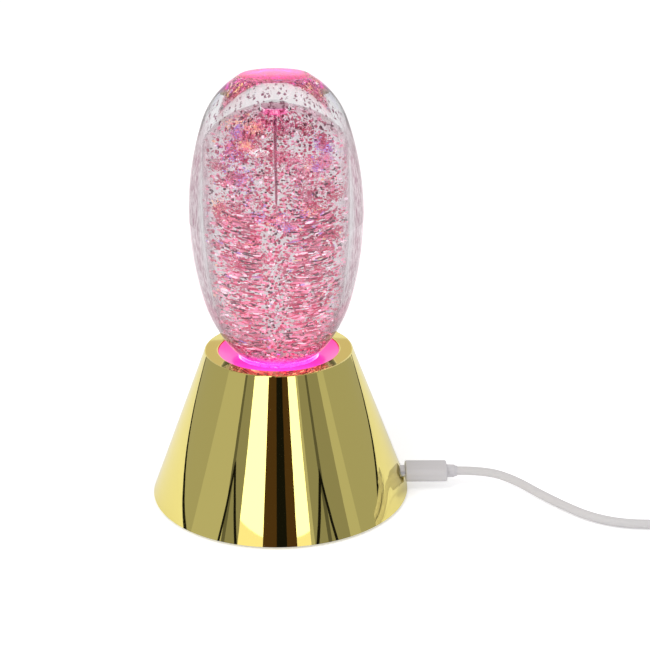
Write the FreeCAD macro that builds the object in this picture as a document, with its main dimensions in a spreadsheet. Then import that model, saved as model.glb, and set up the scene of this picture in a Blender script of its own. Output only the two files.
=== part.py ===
import FreeCAD, Part
import math
import os

import Sketcher

# A glitter lamp: a clear vessel of liquid and glitter on a conical base that holds its lights,
# its stirring motor and its power socket. +Z is up, the origin is on the floor under the middle
# of the base, and the power socket faces +X. All sizes are in millimetres.

# Driving sizes
SIZES = {
    # base cone
    "cone_foot_radius": 55.0, "cone_foot_z": 0.8, "cone_top_radius": 31.0, "cone_top_z": 65.0,
    "cone_wall": 2.0, "cone_hole_radius": 25.4, "rim_round": 0.6, "boss_top_z": 26.0,
    # bottom cover and its feet
    "cover_z": 1.2, "cover_thick": 2.2, "cover_gap": 0.25, "cover_screw_circle": 45.0,
    "cover_boss_radius": 3.2, "sleeve_radius": 4.5, "sleeve_high": 2.6, "foot_circle": 44.0,
    "foot_radius": 4.9, "foot_recess": 1.0, "foot_gap": 0.1,
    # screws
    "screw_radius": 1.2, "screw_hole_radius": 1.5, "screw_head_radius": 2.5,
    "screw_head_thick": 1.0, "counterbore_radius": 3.0, "counterbore_deep": 1.2,
    "small_screw_radius": 0.9, "small_hole_radius": 1.1, "small_head_radius": 1.8,
    "cover_screw_top_z": 12.0, "bracket_screw_top_z": 51.0, "frame_screw_top_z": 57.0,
    # switch
    "switch_x": -22.0, "switch_y": 14.0, "switch_travel": 2.5, "slider_long": 3.0,
    "slider_wide": 2.2, "slider_tip_z": 0.7, "slider_gap": 0.2, "slider_bar_long": 4.6,
    "slider_bar_wide": 3.4, "slider_bar_high": 1.2, "switch_long": 12.0, "switch_wide": 6.0,
    "switch_high": 4.6, "thumb_recess_long": 14.0, "thumb_recess_wide": 7.0,
    # vessel
    "vessel_top_z": 180.0, "equator_z": 122.7, "equator_radius": 35.5,
    "shoulder_radius": 121.9, "shoulder_z": 161.8, "crown_radius": 32.7,
    "belly_radius": 131.0, "belly_z": 87.3, "hip_radius": 53.4, "neck_radius": 16.5,
    "neck_foot_z": 42.0, "groove_radius": 15.1, "groove_z": 44.6, "groove_high": 1.8,
    "bore_radius": 11.5, "cavity_foot_z": 60.0, "cavity_radius": 20.7,
    "cavity_equator_z": 132.0, "cavity_shoulder_radius": 13.5, "dome_radius": 24.0,
    "dome_top_z": 163.0, "pocket_radius": 4.3, "pocket_top_z": 164.2, "liquid_gap": 0.3,
    "liquid_foot_z": 52.7, "flake_radius": 0.8, "flake_thick": 0.1,
    # frame, lights and ring
    "frame_z": 46.4, "frame_thick": 2.6, "frame_radius": 33.6, "frame_hole_radius": 16.8,
    "collar_radius": 18.8, "collar_top_z": 60.8, "frame_screw_circle": 30.2,
    "frame_boss_radius": 2.9, "window_inner": 21.5, "window_outer": 31.0, "clip_radius": 19.8,
    "light_post_circle": 24.0, "light_post_radius": 2.2, "light_board_z": 53.0,
    "light_board_thick": 1.6, "light_board_radius": 26.9, "light_board_hole": 19.6,
    "light_circle": 23.2, "light_size": 5.0, "light_high": 1.6, "light_window": 2.0,
    "ring_flange_radius": 27.0, "ring_foot_z": 60.9, "ring_flange_top_z": 62.9,
    "ring_radius": 25.2, "ring_rim_z": 64.2, "ring_bore_radius": 17.4, "ring_bore_z": 62.9,
    "ring_dish_radius": 20.0,
    # motor and stirrer
    "motor_radius": 12.2, "motor_foot_z": 20.5, "motor_top_z": 32.5, "motor_nose_radius": 3.0,
    "motor_nose_high": 1.2, "motor_screw_circle": 8.0, "end_cap_radius": 11.8,
    "end_cap_thick": 1.8, "shaft_radius": 1.0, "running_gap": 0.05, "bracket_thick": 2.0,
    "bracket_radius": 16.5, "bracket_post_circle": 24.6, "bracket_post_radius": 2.8,
    "bracket_arm_wide": 6.0, "carrier_radius": 11.5, "carrier_foot_z": 36.2,
    "carrier_top_z": 39.4, "magnet_circle": 6.2, "drive_magnet_radius": 3.0,
    "drive_magnet_thick": 2.4, "impeller_radius": 9.8, "impeller_foot_z": 46.8,
    "impeller_plate": 2.2, "impeller_top_z": 51.0, "hub_radius": 2.6, "blade_thick": 1.2,
    "blade_bend": 9.0, "impeller_magnet_radius": 2.2, "impeller_magnet_thick": 1.5,
    "pin_radius": 0.8, "pin_foot_z": 43.6, "pin_top_z": 52.0, "stopper_foot_z": 40.4,
    "stopper_flange_radius": 15.5, "stopper_top_z": 46.0, "seal_z": 44.1, "seal_radius": 0.85,
    "seal_groove_high": 1.8, "pivot_cap_radius": 1.9,
    # circuit board, socket and plug
    "board_long": 28.0, "board_wide": 18.0, "board_thick": 1.0, "board_front_x": 49.8,
    "board_screw_y": 6.0, "socket_z": 7.2, "socket_mouth_x": 51.9, "socket_deep": 7.3,
    "socket_wide": 9.2, "socket_high": 3.5, "sheet_metal": 0.3, "socket_opening_gap": 0.5,
    "plug_shell_wide": 8.3, "plug_shell_high": 2.6, "plug_shell_reach": 6.6,
    "plug_front_x": 54.0, "plug_long": 18.0, "plug_wide": 11.6, "plug_high": 6.3,
    "plug_corner": 2.3, "plug_edge": 0.7, "relief_long": 4.5, "relief_radius": 2.8,
    # cord and the plug at its far end
    "cord_diameter": 3.8, "wire_diameter": 1.2, "coil_x": 192.0, "coil_y": -9.4,
    "coil_inner_radius": 14.8, "coil_step": 4.4, "coil_layer": 4.3, "far_plug_x": 219.0,
    "far_plug_y": 16.9, "far_plug_z": 4.25, "far_relief_long": 8.0, "far_plug_long": 20.0,
    "far_plug_wide": 16.0, "far_plug_high": 8.4, "far_shell_long": 12.0,
    "far_shell_wide": 12.0, "far_shell_high": 4.5,
}

# Counts, and angles about the lamp's axis in degrees
FEET = 4
COVER_SCREWS = 3
FRAME_SCREWS = 3
LIGHTS = 6
BLADES = 6
LOOSE_FLAKES = 22
STREAKS = 11
COVER_SCREW_ANGLE = 90.0
FOOT_ANGLE = 45.0
FRAME_SCREW_ANGLE = 30.0
BRACKET_SCREW_ANGLE = 90.0
WINDOW_HALF_ANGLE = 17.0
CLIP_ANGLE = 320.0
COIL_TURNS = 6 + 96 / 360
COIL_START_ANGLE = -90.0

# How the glitter lies: heights and steps in mm, shares of the cavity's radius, angles in degrees
LOOSE_CLEAR = 6.0
WALL_CLEAR = 4.0
CLUMP_HEIGHTS = (128.0, 139.0, 147.5)
CLUMP_SHARE = 0.55
CLUMP_STEP = 1.3
CLUMP_TURN = 250.0
STREAK_FOOT = 64.0
STREAK_TOP = 120.0
STREAK_SHARES = (0.82, 0.62, 0.74)
STREAK_STRETCH = 3.5
STREAK_TURN = 200.0


class Size:
    """A length or number with the sheet formula that gives it."""

    def __init__(self, value, formula):
        self.value = value
        self.formula = formula

    def __add__(self, other):
        other = as_size(other)
        return Size(self.value + other.value, f"({self.formula} + {other.formula})")

    def __sub__(self, other):
        other = as_size(other)
        return Size(self.value - other.value, f"({self.formula} - {other.formula})")

    def __mul__(self, other):
        other = as_size(other)
        return Size(self.value * other.value, f"({self.formula} * {other.formula})")

    def __truediv__(self, other):
        other = as_size(other)
        return Size(self.value / other.value, f"({self.formula} / {other.formula})")

    def __neg__(self):
        return Size(-self.value, f"(0 - {self.formula})")

    def __rsub__(self, other):
        return as_size(other) - self

    __radd__ = __add__
    __rmul__ = __mul__


def as_size(number):
    if isinstance(number, Size):
        return number
    number = float(number)
    return Size(number, f"(0 - {-number!r})" if number < 0 else repr(number))


def root(size):
    return Size(math.sqrt(size.value), f"sqrt({size.formula})")


doc = FreeCAD.newDocument("glitter_lamp")
sheet = doc.addObject("Spreadsheet::Sheet", "Sizes")
for row, (alias, value) in enumerate(SIZES.items(), start=1):
    sheet.set(f"A{row}", alias)
    sheet.set(f"B{row}", str(value))
    sheet.setAlias(f"B{row}", alias)
doc.recompute()

S = {alias: Size(value, f"Sizes.{alias}") for alias, value in SIZES.items()}
NODES = []

# The cone's outer and inner walls, as radii at a height
CONE_SLOPE = (S["cone_foot_radius"] - S["cone_top_radius"]) / (S["cone_top_z"] - S["cone_foot_z"])
WALL_ACROSS = S["cone_wall"] * root(1 + CONE_SLOPE * CONE_SLOPE)


def cone_radius(z, inset=0.0):
    """The radius at height z of the cone's outside, or of a cone inset walls inside it."""
    return S["cone_foot_radius"] - CONE_SLOPE * (z - S["cone_foot_z"]) - WALL_ACROSS * inset


def bind(thing, prop, size):
    thing.setExpression(prop, as_size(size).formula)


def keep(thing, label):
    """Name a finished sub-part: its label is its node."""
    thing.Label = label
    NODES.append(thing)
    return thing


# Sketches

def new_body(name):
    body = doc.addObject("PartDesign::Body", name)
    body.AllowCompound = True
    return body


def origin_feature(body, role):
    return next(feature for feature in body.Origin.OriginFeatures if feature.Role == role)


def new_sketch(body, plane="XZ_Plane", height=0.0, aside=0.0):
    """A sketch on a plane of its body, height along the plane's normal and aside along its X."""
    sketch = body.newObject("Sketcher::SketchObject", "Sketch")
    sketch.AttachmentSupport = [(origin_feature(body, plane), "")]
    sketch.MapMode = "FlatFace"
    bind(sketch, "AttachmentOffset.Base.z", height)
    bind(sketch, "AttachmentOffset.Base.x", aside)
    return sketch


def fix_point(sketch, geometry, vertex, x, y):
    """Tie one point of a sketch to its distances from the origin."""
    for kind, axis, size in (("DistanceX", -2, as_size(x)), ("DistanceY", -1, as_size(y))):
        if abs(size.value) < 1e-9:
            sketch.addConstraint(Sketcher.Constraint("PointOnObject", geometry, vertex, axis))
            continue
        index = sketch.addConstraint(
            Sketcher.Constraint(kind, -1, 1, geometry, vertex, size.value))
        sketch.setExpression(f"Constraints[{index}]", size.formula)


def fix_radius(sketch, geometry, radius):
    index = sketch.addConstraint(Sketcher.Constraint("Radius", geometry, radius.value))
    sketch.setExpression(f"Constraints[{index}]", radius.formula)


def arc_between(start, end, radius):
    """The shorter arc from start to end. It turns left for a radius over 0, otherwise right."""
    chord = end - start
    side = FreeCAD.Vector(-chord.y, chord.x, 0).normalize()
    rise = math.sqrt(max(radius ** 2 - (chord.Length / 2) ** 2, 0.0))
    centre = (start + end) * 0.5 + side * math.copysign(rise, radius)
    first, last = (start, end) if radius > 0 else (end, start)
    from_angle, to_angle = [math.atan2(p.y - centre.y, p.x - centre.x) for p in (first, last)]
    if to_angle < from_angle:
        to_angle += 2 * math.pi
    circle_curve = Part.Circle(centre, FreeCAD.Vector(0, 0, 1), abs(radius))
    return Part.ArcOfCircle(circle_curve, from_angle, to_angle)


def outline(sketch, points):
    """Draw a closed outline. A point is (x, y), or (x, y, radius) where an arc leads to it."""
    corners = [FreeCAD.Vector(as_size(p[0]).value, as_size(p[1]).value, 0) for p in points]
    edges = []
    for index, point in enumerate(points):
        start, end = corners[index - 1], corners[index]
        if len(point) == 2:
            geometry = sketch.addGeometry(Part.LineSegment(start, end), False)
            edges.append((geometry, 1, 2))
            continue
        radius = as_size(point[2])
        geometry = sketch.addGeometry(arc_between(start, end, radius.value), False)
        fix_radius(sketch, geometry, radius if radius.value > 0 else -radius)
        edges.append((geometry, 1, 2) if radius.value > 0 else (geometry, 2, 1))
    for index, (geometry, first, last) in enumerate(edges):
        before = edges[index - 1]
        sketch.addConstraint(
            Sketcher.Constraint("Coincident", before[0], before[2], geometry, first))
        fix_point(sketch, geometry, last, points[index][0], points[index][1])
    return sketch


def rectangle(sketch, x, y, wide, high):
    """A rectangle centred on (x, y)."""
    x, y, wide, high = (as_size(value) for value in (x, y, wide, high))
    left, right = x - wide / 2, x + wide / 2
    low, top = y - high / 2, y + high / 2
    return outline(sketch, [(left, low), (right, low), (right, top), (left, top)])


def rounded_rectangle(sketch, x, y, wide, high, corner):
    """A rectangle centred on (x, y) with round corners."""
    x, y, wide, high, corner = (as_size(value) for value in (x, y, wide, high, corner))
    left, right = x - wide / 2, x + wide / 2
    low, top = y - high / 2, y + high / 2
    return outline(sketch, [
        (left + corner, low, corner), (right - corner, low),
        (right, low + corner, corner), (right, top - corner),
        (right - corner, top, corner), (left + corner, top),
        (left, top - corner, corner), (left, low + corner)])


def circle(sketch, x, y, radius):
    x, y, radius = (as_size(value) for value in (x, y, radius))
    middle = FreeCAD.Vector(x.value, y.value, 0)
    geometry = sketch.addGeometry(
        Part.Circle(middle, FreeCAD.Vector(0, 0, 1), radius.value), False)
    fix_radius(sketch, geometry, radius)
    if abs(x.value) < 1e-9 and abs(y.value) < 1e-9:
        sketch.addConstraint(Sketcher.Constraint("Coincident", geometry, 3, -1, 1))
    else:
        fix_point(sketch, geometry, 3, x, y)
    return sketch


def around(radius, angle):
    """The place at a radius and an angle in degrees about the lamp's axis."""
    turn = math.radians(angle)
    return radius * math.cos(turn), radius * math.sin(turn)


# Features

def revolve(body, sketch, angle=360.0):
    feature = body.newObject("PartDesign::Revolution", "Revolution")
    feature.Profile = sketch
    feature.ReferenceAxis = (sketch, ["V_Axis"])
    feature.Angle = angle
    return feature


def groove(body, sketch):
    """Turn a sketch's shape out of the body."""
    doc.recompute()
    volume = body.Shape.Volume
    feature = body.newObject("PartDesign::Groove", "Groove")
    feature.Profile = sketch
    feature.ReferenceAxis = (sketch, ["V_Axis"])
    feature.Angle = 360
    doc.recompute()
    if body.Shape.Volume >= volume - 1e-6:
        raise RuntimeError(f"{body.Name}: a groove cuts nothing")
    return feature


def pad(body, sketch, length, downward=False):
    feature = body.newObject("PartDesign::Pad", "Pad")
    feature.Profile = sketch
    bind(feature, "Length", length)
    feature.Reversed = downward
    return feature


def pocket(body, sketch, depth, along_normal=False):
    """Cut a sketch's shape out, against the sketch's normal unless along_normal is set."""
    doc.recompute()
    volume = body.Shape.Volume
    feature = body.newObject("PartDesign::Pocket", "Pocket")
    feature.Profile = sketch
    bind(feature, "Length", depth)
    feature.Reversed = along_normal
    doc.recompute()
    if body.Shape.Volume >= volume - 1e-6:
        raise RuntimeError(f"{body.Name}: a pocket cuts nothing")
    return feature


def repeat_around(body, features, count):
    pattern = body.newObject("PartDesign::PolarPattern", "PolarPattern")
    pattern.Originals = features
    pattern.Axis = (origin_feature(body, "Z_Axis"), [""])
    pattern.Angle = 360
    pattern.Occurrences = count
    body.Tip = pattern
    return pattern


def round_edges(body, radius, wanted):
    """Round the edges of the body's tip for which wanted(edge) is true."""
    doc.recompute()
    base = body.Tip
    names = [f"Edge{number}" for number, edge in enumerate(base.Shape.Edges, start=1)
             if wanted(edge)]
    if not names:
        raise RuntimeError(f"{body.Name}: no edge to round")
    feature = body.newObject("PartDesign::Fillet", "Fillet")
    feature.Base = (base, names)
    bind(feature, "Radius", radius)
    return feature


def turn_about_axis(thing, angle):
    thing.Placement = FreeCAD.Placement(
        FreeCAD.Vector(0, 0, 0), FreeCAD.Rotation(FreeCAD.Vector(0, 0, 1), angle))


def revolved(label, points, angle=360.0):
    """A sub-part turned from one outline of (radius, height) points."""
    body = new_body(label)
    revolve(body, outline(new_sketch(body), points), angle)
    return keep(body, label)


def cylinder(name, radius, height, x=0.0, y=0.0, z=0.0):
    shape = doc.addObject("Part::Cylinder", name)
    bind(shape, "Radius", radius)
    bind(shape, "Height", height)
    bind(shape, "Placement.Base.x", x)
    bind(shape, "Placement.Base.y", y)
    bind(shape, "Placement.Base.z", z)
    return shape


def box(name, x, y, z, long, wide, high):
    """A box centred on (x, y) that stands on z."""
    shape = doc.addObject("Part::Box", name)
    for prop, size in (("Length", long), ("Width", wide), ("Height", high)):
        bind(shape, prop, size)
    bind(shape, "Placement.Base.x", x - as_size(long) / 2)
    bind(shape, "Placement.Base.y", y - as_size(wide) / 2)
    bind(shape, "Placement.Base.z", z)
    return shape


def boolean(kind, name, base, tool):
    result = doc.addObject(f"Part::{kind}", name)
    result.Base = base
    result.Tool = tool
    return result


def screw_outline(head_radius, head_foot_z, head_thick, shank_radius, shank_top_z):
    """Half of a screw that is driven upwards, from its head's foot."""
    head_top = head_foot_z + head_thick
    return [(0.0, head_foot_z), (head_radius - 0.4, head_foot_z),
            (head_radius, head_foot_z + 0.4), (head_radius, head_top),
            (shank_radius, head_top), (shank_radius, shank_top_z - shank_radius),
            (0.0, shank_top_z)]


def ring_of_screws(label, count, circle_radius, angle, points):
    """Screws on a circle, as one group."""
    body = new_body(label)
    sketch = outline(new_sketch(body, aside=circle_radius), points)
    repeat_around(body, [revolve(body, sketch)], count)
    turn_about_axis(body, angle)
    return keep(body, label)


# Base cone, bottom cover and feet

def make_base_cone():
    ceiling_z = S["cone_top_z"] - S["cone_wall"]
    shell = new_body("cone_shell")
    revolve(shell, outline(new_sketch(shell), [
        (S["cone_foot_radius"], S["cone_foot_z"]),
        (S["cone_top_radius"], S["cone_top_z"]),
        (S["cone_hole_radius"], S["cone_top_z"]),
        (S["cone_hole_radius"], ceiling_z),
        (cone_radius(ceiling_z, 1), ceiling_z),
        (cone_radius(S["cone_foot_z"], 1), S["cone_foot_z"])]))
    round_edges(shell, S["rim_round"], lambda edge: edge.BoundBox.ZMin > SIZES["cone_top_z"] - 0.1)

    # screw bosses grow out of the sloping wall, so they stop inside its thickness
    bosses = new_body("cone_bosses")
    cover_top_z = S["cover_z"] + S["cover_thick"]
    sketch = circle(new_sketch(bosses, "XY_Plane", cover_top_z),
                    *around(S["cover_screw_circle"], COVER_SCREW_ANGLE), S["cover_boss_radius"])
    repeat_around(bosses, [pad(bosses, sketch, S["boss_top_z"] - cover_top_z)], COVER_SCREWS)
    frame_top_z = S["frame_z"] + S["frame_thick"]
    sketch = circle(new_sketch(bosses, "XY_Plane", frame_top_z),
                    *around(S["frame_screw_circle"], FRAME_SCREW_ANGLE), S["frame_boss_radius"])
    repeat_around(bosses, [pad(bosses, sketch, ceiling_z - frame_top_z + 1)], FRAME_SCREWS)
    limit = doc.addObject("Part::Cone", "boss_limit")
    bind(limit, "Radius1", cone_radius(S["cone_foot_z"], 0.5))
    bind(limit, "Radius2", cone_radius(S["cone_top_z"], 0.5))
    bind(limit, "Height", S["cone_top_z"] - S["cone_foot_z"])
    bind(limit, "Placement.Base.z", S["cone_foot_z"])
    walls = boolean("Fuse", "cone_walls", shell,
                    boolean("Common", "cone_boss_stubs", bosses, limit))

    holes = new_body("cone_holes")
    sketch = circle(new_sketch(holes, "XY_Plane", cover_top_z - 1),
                    *around(S["cover_screw_circle"], COVER_SCREW_ANGLE), S["screw_radius"])
    repeat_around(holes, [pad(holes, sketch, 11)], COVER_SCREWS)
    sketch = circle(new_sketch(holes, "XY_Plane", frame_top_z - 1),
                    *around(S["frame_screw_circle"], FRAME_SCREW_ANGLE), S["screw_radius"])
    repeat_around(holes, [pad(holes, sketch, 10)], FRAME_SCREWS)
    gap = S["socket_opening_gap"] * 2
    sketch = rounded_rectangle(
        new_sketch(holes, "YZ_Plane", S["socket_mouth_x"] - 5), 0, S["socket_z"],
        S["socket_wide"] + gap, S["socket_high"] + gap, (S["socket_high"] + gap) * 0.45)
    pad(holes, sketch, 12)
    keep(boolean("Cut", "cone_with_holes", walls, holes), "base_cone")


def make_bottom_cover():
    body = new_body("bottom_cover")
    low_z = S["cover_z"]
    top_z = S["cover_z"] + S["cover_thick"]
    revolve(body, outline(new_sketch(body), [
        (0.0, low_z), (cone_radius(low_z, 1) - S["cover_gap"], low_z),
        (cone_radius(top_z, 1) - S["cover_gap"], top_z), (0.0, top_z)]))
    screw_place = around(S["cover_screw_circle"], COVER_SCREW_ANGLE)
    sketch = circle(new_sketch(body, "XY_Plane", top_z), *screw_place, S["sleeve_radius"])
    circle(sketch, *screw_place, S["cover_boss_radius"] + S["foot_gap"])
    repeat_around(body, [pad(body, sketch, S["sleeve_high"])], COVER_SCREWS)
    board_back_x = S["board_front_x"] - S["board_long"] + 3
    board_z = S["socket_z"] - S["socket_high"] / 2 - S["board_thick"]
    sketch = new_sketch(body, "XY_Plane", top_z)
    for side in (1, -1):
        circle(sketch, board_back_x, S["board_screw_y"] * side, S["small_head_radius"] + 0.4)
        circle(sketch, board_back_x, S["board_screw_y"] * side, S["small_screw_radius"])
    rectangle(sketch, S["board_front_x"] - 5, 0, 2, S["board_wide"] - 4)
    pad(body, sketch, board_z - top_z)

    sketch = circle(new_sketch(body, "XY_Plane", top_z), *screw_place, S["screw_hole_radius"])
    hole = pocket(body, sketch, S["cover_thick"])
    sketch = circle(new_sketch(body, "XY_Plane", low_z), *screw_place, S["counterbore_radius"])
    counterbore = pocket(body, sketch, S["counterbore_deep"], along_normal=True)
    repeat_around(body, [hole, counterbore], COVER_SCREWS)
    sketch = circle(new_sketch(body, "XY_Plane", low_z),
                    *around(S["foot_circle"], FOOT_ANGLE), S["foot_radius"] + S["foot_gap"])
    repeat_around(body, [pocket(body, sketch, S["foot_recess"], along_normal=True)], FEET)
    sketch = rounded_rectangle(new_sketch(body, "XY_Plane", low_z), S["switch_x"],
                               S["switch_y"], S["thumb_recess_long"],
                               S["thumb_recess_wide"], 2)
    pocket(body, sketch, S["cover_thick"] / 2, along_normal=True)
    slot_long = S["slider_long"] + S["switch_travel"] + S["slider_gap"] * 2
    sketch = rectangle(new_sketch(body, "XY_Plane", top_z), S["switch_x"], S["switch_y"],
                       slot_long, S["slider_wide"] + S["slider_gap"] * 2)
    pocket(body, sketch, S["cover_thick"])
    keep(body, "bottom_cover")

    ring_of_screws("cover_screws", COVER_SCREWS, S["cover_screw_circle"], COVER_SCREW_ANGLE,
                   screw_outline(S["screw_head_radius"],
                                 low_z + S["counterbore_deep"] - S["screw_head_thick"],
                                 S["screw_head_thick"], S["screw_radius"],
                                 S["cover_screw_top_z"]))


def make_rubber_feet():
    body = new_body("rubber_feet")
    top_z = S["cover_z"] + S["foot_recess"]
    sketch = outline(new_sketch(body, aside=S["foot_circle"]), [
        (0.0, 0.0), (S["foot_radius"] - 0.5, 0.0), (S["foot_radius"], 0.5),
        (S["foot_radius"], top_z), (0.0, top_z)])
    repeat_around(body, [revolve(body, sketch)], FEET)
    turn_about_axis(body, FOOT_ANGLE)
    keep(body, "rubber_feet")


# Slide switch in the bottom cover

def make_switch():
    top_z = S["cover_z"] + S["cover_thick"]
    bar_z = top_z + S["slider_gap"]
    gap = S["slider_gap"] * 2
    housing = new_body("switch_body")
    sketch = rectangle(new_sketch(housing, "XY_Plane", top_z), S["switch_x"], S["switch_y"],
                       S["switch_long"], S["switch_wide"])
    pad(housing, sketch, S["switch_high"])
    sketch = rectangle(new_sketch(housing, "XY_Plane", top_z), S["switch_x"], S["switch_y"],
                       S["slider_bar_long"] + S["switch_travel"] + gap,
                       S["slider_bar_wide"] + gap)
    pocket(housing, sketch, S["slider_bar_high"] + gap, along_normal=True)
    keep(housing, "switch_body")

    # the slider rests at the +X end of its slot, which is on, and slides towards -X
    slider = new_body("switch_slider")
    slider_x = S["switch_x"] + S["switch_travel"] / 2
    sketch = rounded_rectangle(new_sketch(slider, "XY_Plane", S["slider_tip_z"]), slider_x,
                               S["switch_y"], S["slider_long"], S["slider_wide"], 0.4)
    pad(slider, sketch, bar_z - S["slider_tip_z"])
    sketch = rectangle(new_sketch(slider, "XY_Plane", bar_z), slider_x, S["switch_y"],
                       S["slider_bar_long"], S["slider_bar_wide"])
    pad(slider, sketch, S["slider_bar_high"])
    keep(slider, "switch_slider")


# Vessel, its liquid and its stopper

def arc_meeting(centre_r, centre_z, radius, rise):
    """The point of an arc at a rise over its centre, and its direction from the centre."""
    up = rise / radius
    out = root(1 - up * up)
    return centre_r + radius * out, centre_z + rise, out, up


def vessel_outline():
    """The outer half profile: a belly of two arcs, a crown cut flat, and the neck."""
    z0 = S["equator_z"]
    side_r = S["equator_radius"] - S["shoulder_radius"]
    shoulder_r, shoulder_z, out, up = arc_meeting(
        side_r, z0, S["shoulder_radius"], S["shoulder_z"] - z0)
    crown_r = shoulder_r - S["crown_radius"] * out
    crown_z = shoulder_z - S["crown_radius"] * up
    flat_r = arc_meeting(crown_r, crown_z, S["crown_radius"], S["vessel_top_z"] - crown_z)[0]

    belly_side_r = S["equator_radius"] - S["belly_radius"]
    belly_r, belly_z, out, up = arc_meeting(
        belly_side_r, z0, S["belly_radius"], S["belly_z"] - z0)
    hip_r = belly_r - S["hip_radius"] * out
    hip_z = belly_z - S["hip_radius"] * up
    reach = S["neck_radius"] - hip_r
    neck_z = hip_z - root(S["hip_radius"] * S["hip_radius"] - reach * reach)
    groove_top_z = S["groove_z"] + S["groove_high"]
    return [
        (0.0, S["neck_foot_z"]), (S["neck_radius"], S["neck_foot_z"]),
        (S["neck_radius"], S["groove_z"]), (S["groove_radius"], S["groove_z"]),
        (S["groove_radius"], groove_top_z), (S["neck_radius"], groove_top_z),
        (S["neck_radius"], neck_z), (belly_r, belly_z, S["hip_radius"]),
        (S["equator_radius"], z0, S["belly_radius"]),
        (shoulder_r, shoulder_z, S["shoulder_radius"]),
        (flat_r, S["vessel_top_z"], S["crown_radius"]), (0.0, S["vessel_top_z"])]


def cavity_outline(inset):
    """The liquid's half profile, from the bore to the foot of the air pocket in its dome."""
    side = S["cavity_radius"] - inset
    bore = S["bore_radius"] - inset
    fall = S["cavity_equator_z"] - S["cavity_foot_z"]
    sag = side - bore
    side_radius = (fall * fall + sag * sag) / (sag * 2)
    dome = S["dome_radius"] - inset
    dome_z = S["dome_top_z"] - S["dome_radius"]
    shoulder = S["cavity_shoulder_radius"] - inset
    shoulder_r = side - shoulder
    reach = dome - shoulder
    rise = root(reach * reach - shoulder_r * shoulder_r)
    pocket = S["pocket_radius"]
    return [
        (bore, S["cavity_foot_z"]), (side, S["cavity_equator_z"], side_radius),
        (side, dome_z + rise),
        (shoulder_r * dome / reach, dome_z + rise * dome / reach, shoulder),
        (pocket, dome_z + root(dome * dome - pocket * pocket), dome)]


def make_vessel():
    shell = new_body("vessel_shell")
    revolve(shell, outline(new_sketch(shell), vessel_outline()))
    groove(shell, outline(new_sketch(shell), [
        (0.0, S["neck_foot_z"]), (S["bore_radius"], S["neck_foot_z"])]
        + cavity_outline(0.0)
        + [(S["pocket_radius"], S["pocket_top_z"]), (0.0, S["pocket_top_z"])]))
    keep(shell, "vessel_shell")

    # air fills the pocket, so the liquid is flat under it
    gap = S["liquid_gap"]
    filled = cavity_outline(gap)
    revolved("liquid_fill", [
        (0.0, S["liquid_foot_z"]), (S["bore_radius"] - gap, S["liquid_foot_z"])]
        + filled + [(0.0, filled[-1][1])])


def flake(out, turn, height, lean, stretch=1.0):
    """One hexagonal flake that lies along the way round, turned by lean."""
    up = FreeCAD.Vector(0, 0, 1)
    corners = []
    for side in range(7):
        corner = FreeCAD.Rotation(up, 60 * side).multVec(
            FreeCAD.Vector(S["flake_radius"].value, 0, 0))
        corners.append(FreeCAD.Vector(corner.x * stretch, corner.y, 0))
    made = Part.Face(Part.makePolygon(corners)).extrude(up * S["flake_thick"].value)
    place = FreeCAD.Rotation(up, turn).multVec(FreeCAD.Vector(out, 0, height))
    made.Placement = FreeCAD.Placement(place, FreeCAD.Rotation(up, turn + 90).multiply(lean))
    return made


def cavity_reach(height):
    """The cavity's radius below its widest place."""
    fall = S["cavity_equator_z"].value - S["cavity_foot_z"].value
    sag = S["cavity_radius"].value - S["bore_radius"].value
    side_radius = (fall * fall + sag * sag) / (sag * 2)
    drop = max(0.0, S["cavity_equator_z"].value - height)
    return S["cavity_radius"].value - side_radius + math.sqrt(side_radius ** 2 - drop ** 2)


def make_glitter():
    """Flakes in three groups: loose ones, clumps high up, and streaks drawn out by the swirl."""
    golden = (math.sqrt(5) - 1) / 2
    low = S["liquid_foot_z"].value + LOOSE_CLEAR
    high = S["dome_top_z"].value - LOOSE_CLEAR - 2
    flakes = []
    for number in range(LOOSE_FLAKES):
        height = low + (high - low) * (number + 0.5) / LOOSE_FLAKES
        out = (cavity_reach(height) - WALL_CLEAR) * math.sqrt((number * golden * golden) % 1.0)
        flakes.append(flake(out, 360 * number * golden, height, FreeCAD.Rotation(
            360 * number * golden, 70 * math.sin(number), 50 * number)))

    corners = [(0, 0), (-1, -1), (-1, 1), (1, -1), (1, 1)]
    for number, height in enumerate(CLUMP_HEIGHTS):
        out = CLUMP_SHARE * cavity_reach(height)
        for member, (along, above) in enumerate(corners):
            flakes.append(flake(
                out + CLUMP_STEP * along, CLUMP_TURN + 360 * number * golden,
                height + CLUMP_STEP * above,
                FreeCAD.Rotation(70 * member, 40 * math.cos(number + member), 55 * member)))

    rise = (STREAK_TOP - STREAK_FOOT) / STREAKS
    for number in range(STREAKS):
        height = STREAK_FOOT + rise * (number + 0.5)
        share = STREAK_SHARES[number % len(STREAK_SHARES)]
        flakes.append(flake(
            share * cavity_reach(height), STREAK_TURN + 360 * number * golden, height,
            FreeCAD.Rotation(FreeCAD.Vector(1, 0, 0), 60 + 15 * (number % 3)), STREAK_STRETCH))
    glitter = doc.addObject("Part::Feature", "glitter_flakes")
    glitter.Shape = Part.makeCompound(flakes)
    keep(glitter, "glitter_flakes")


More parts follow.
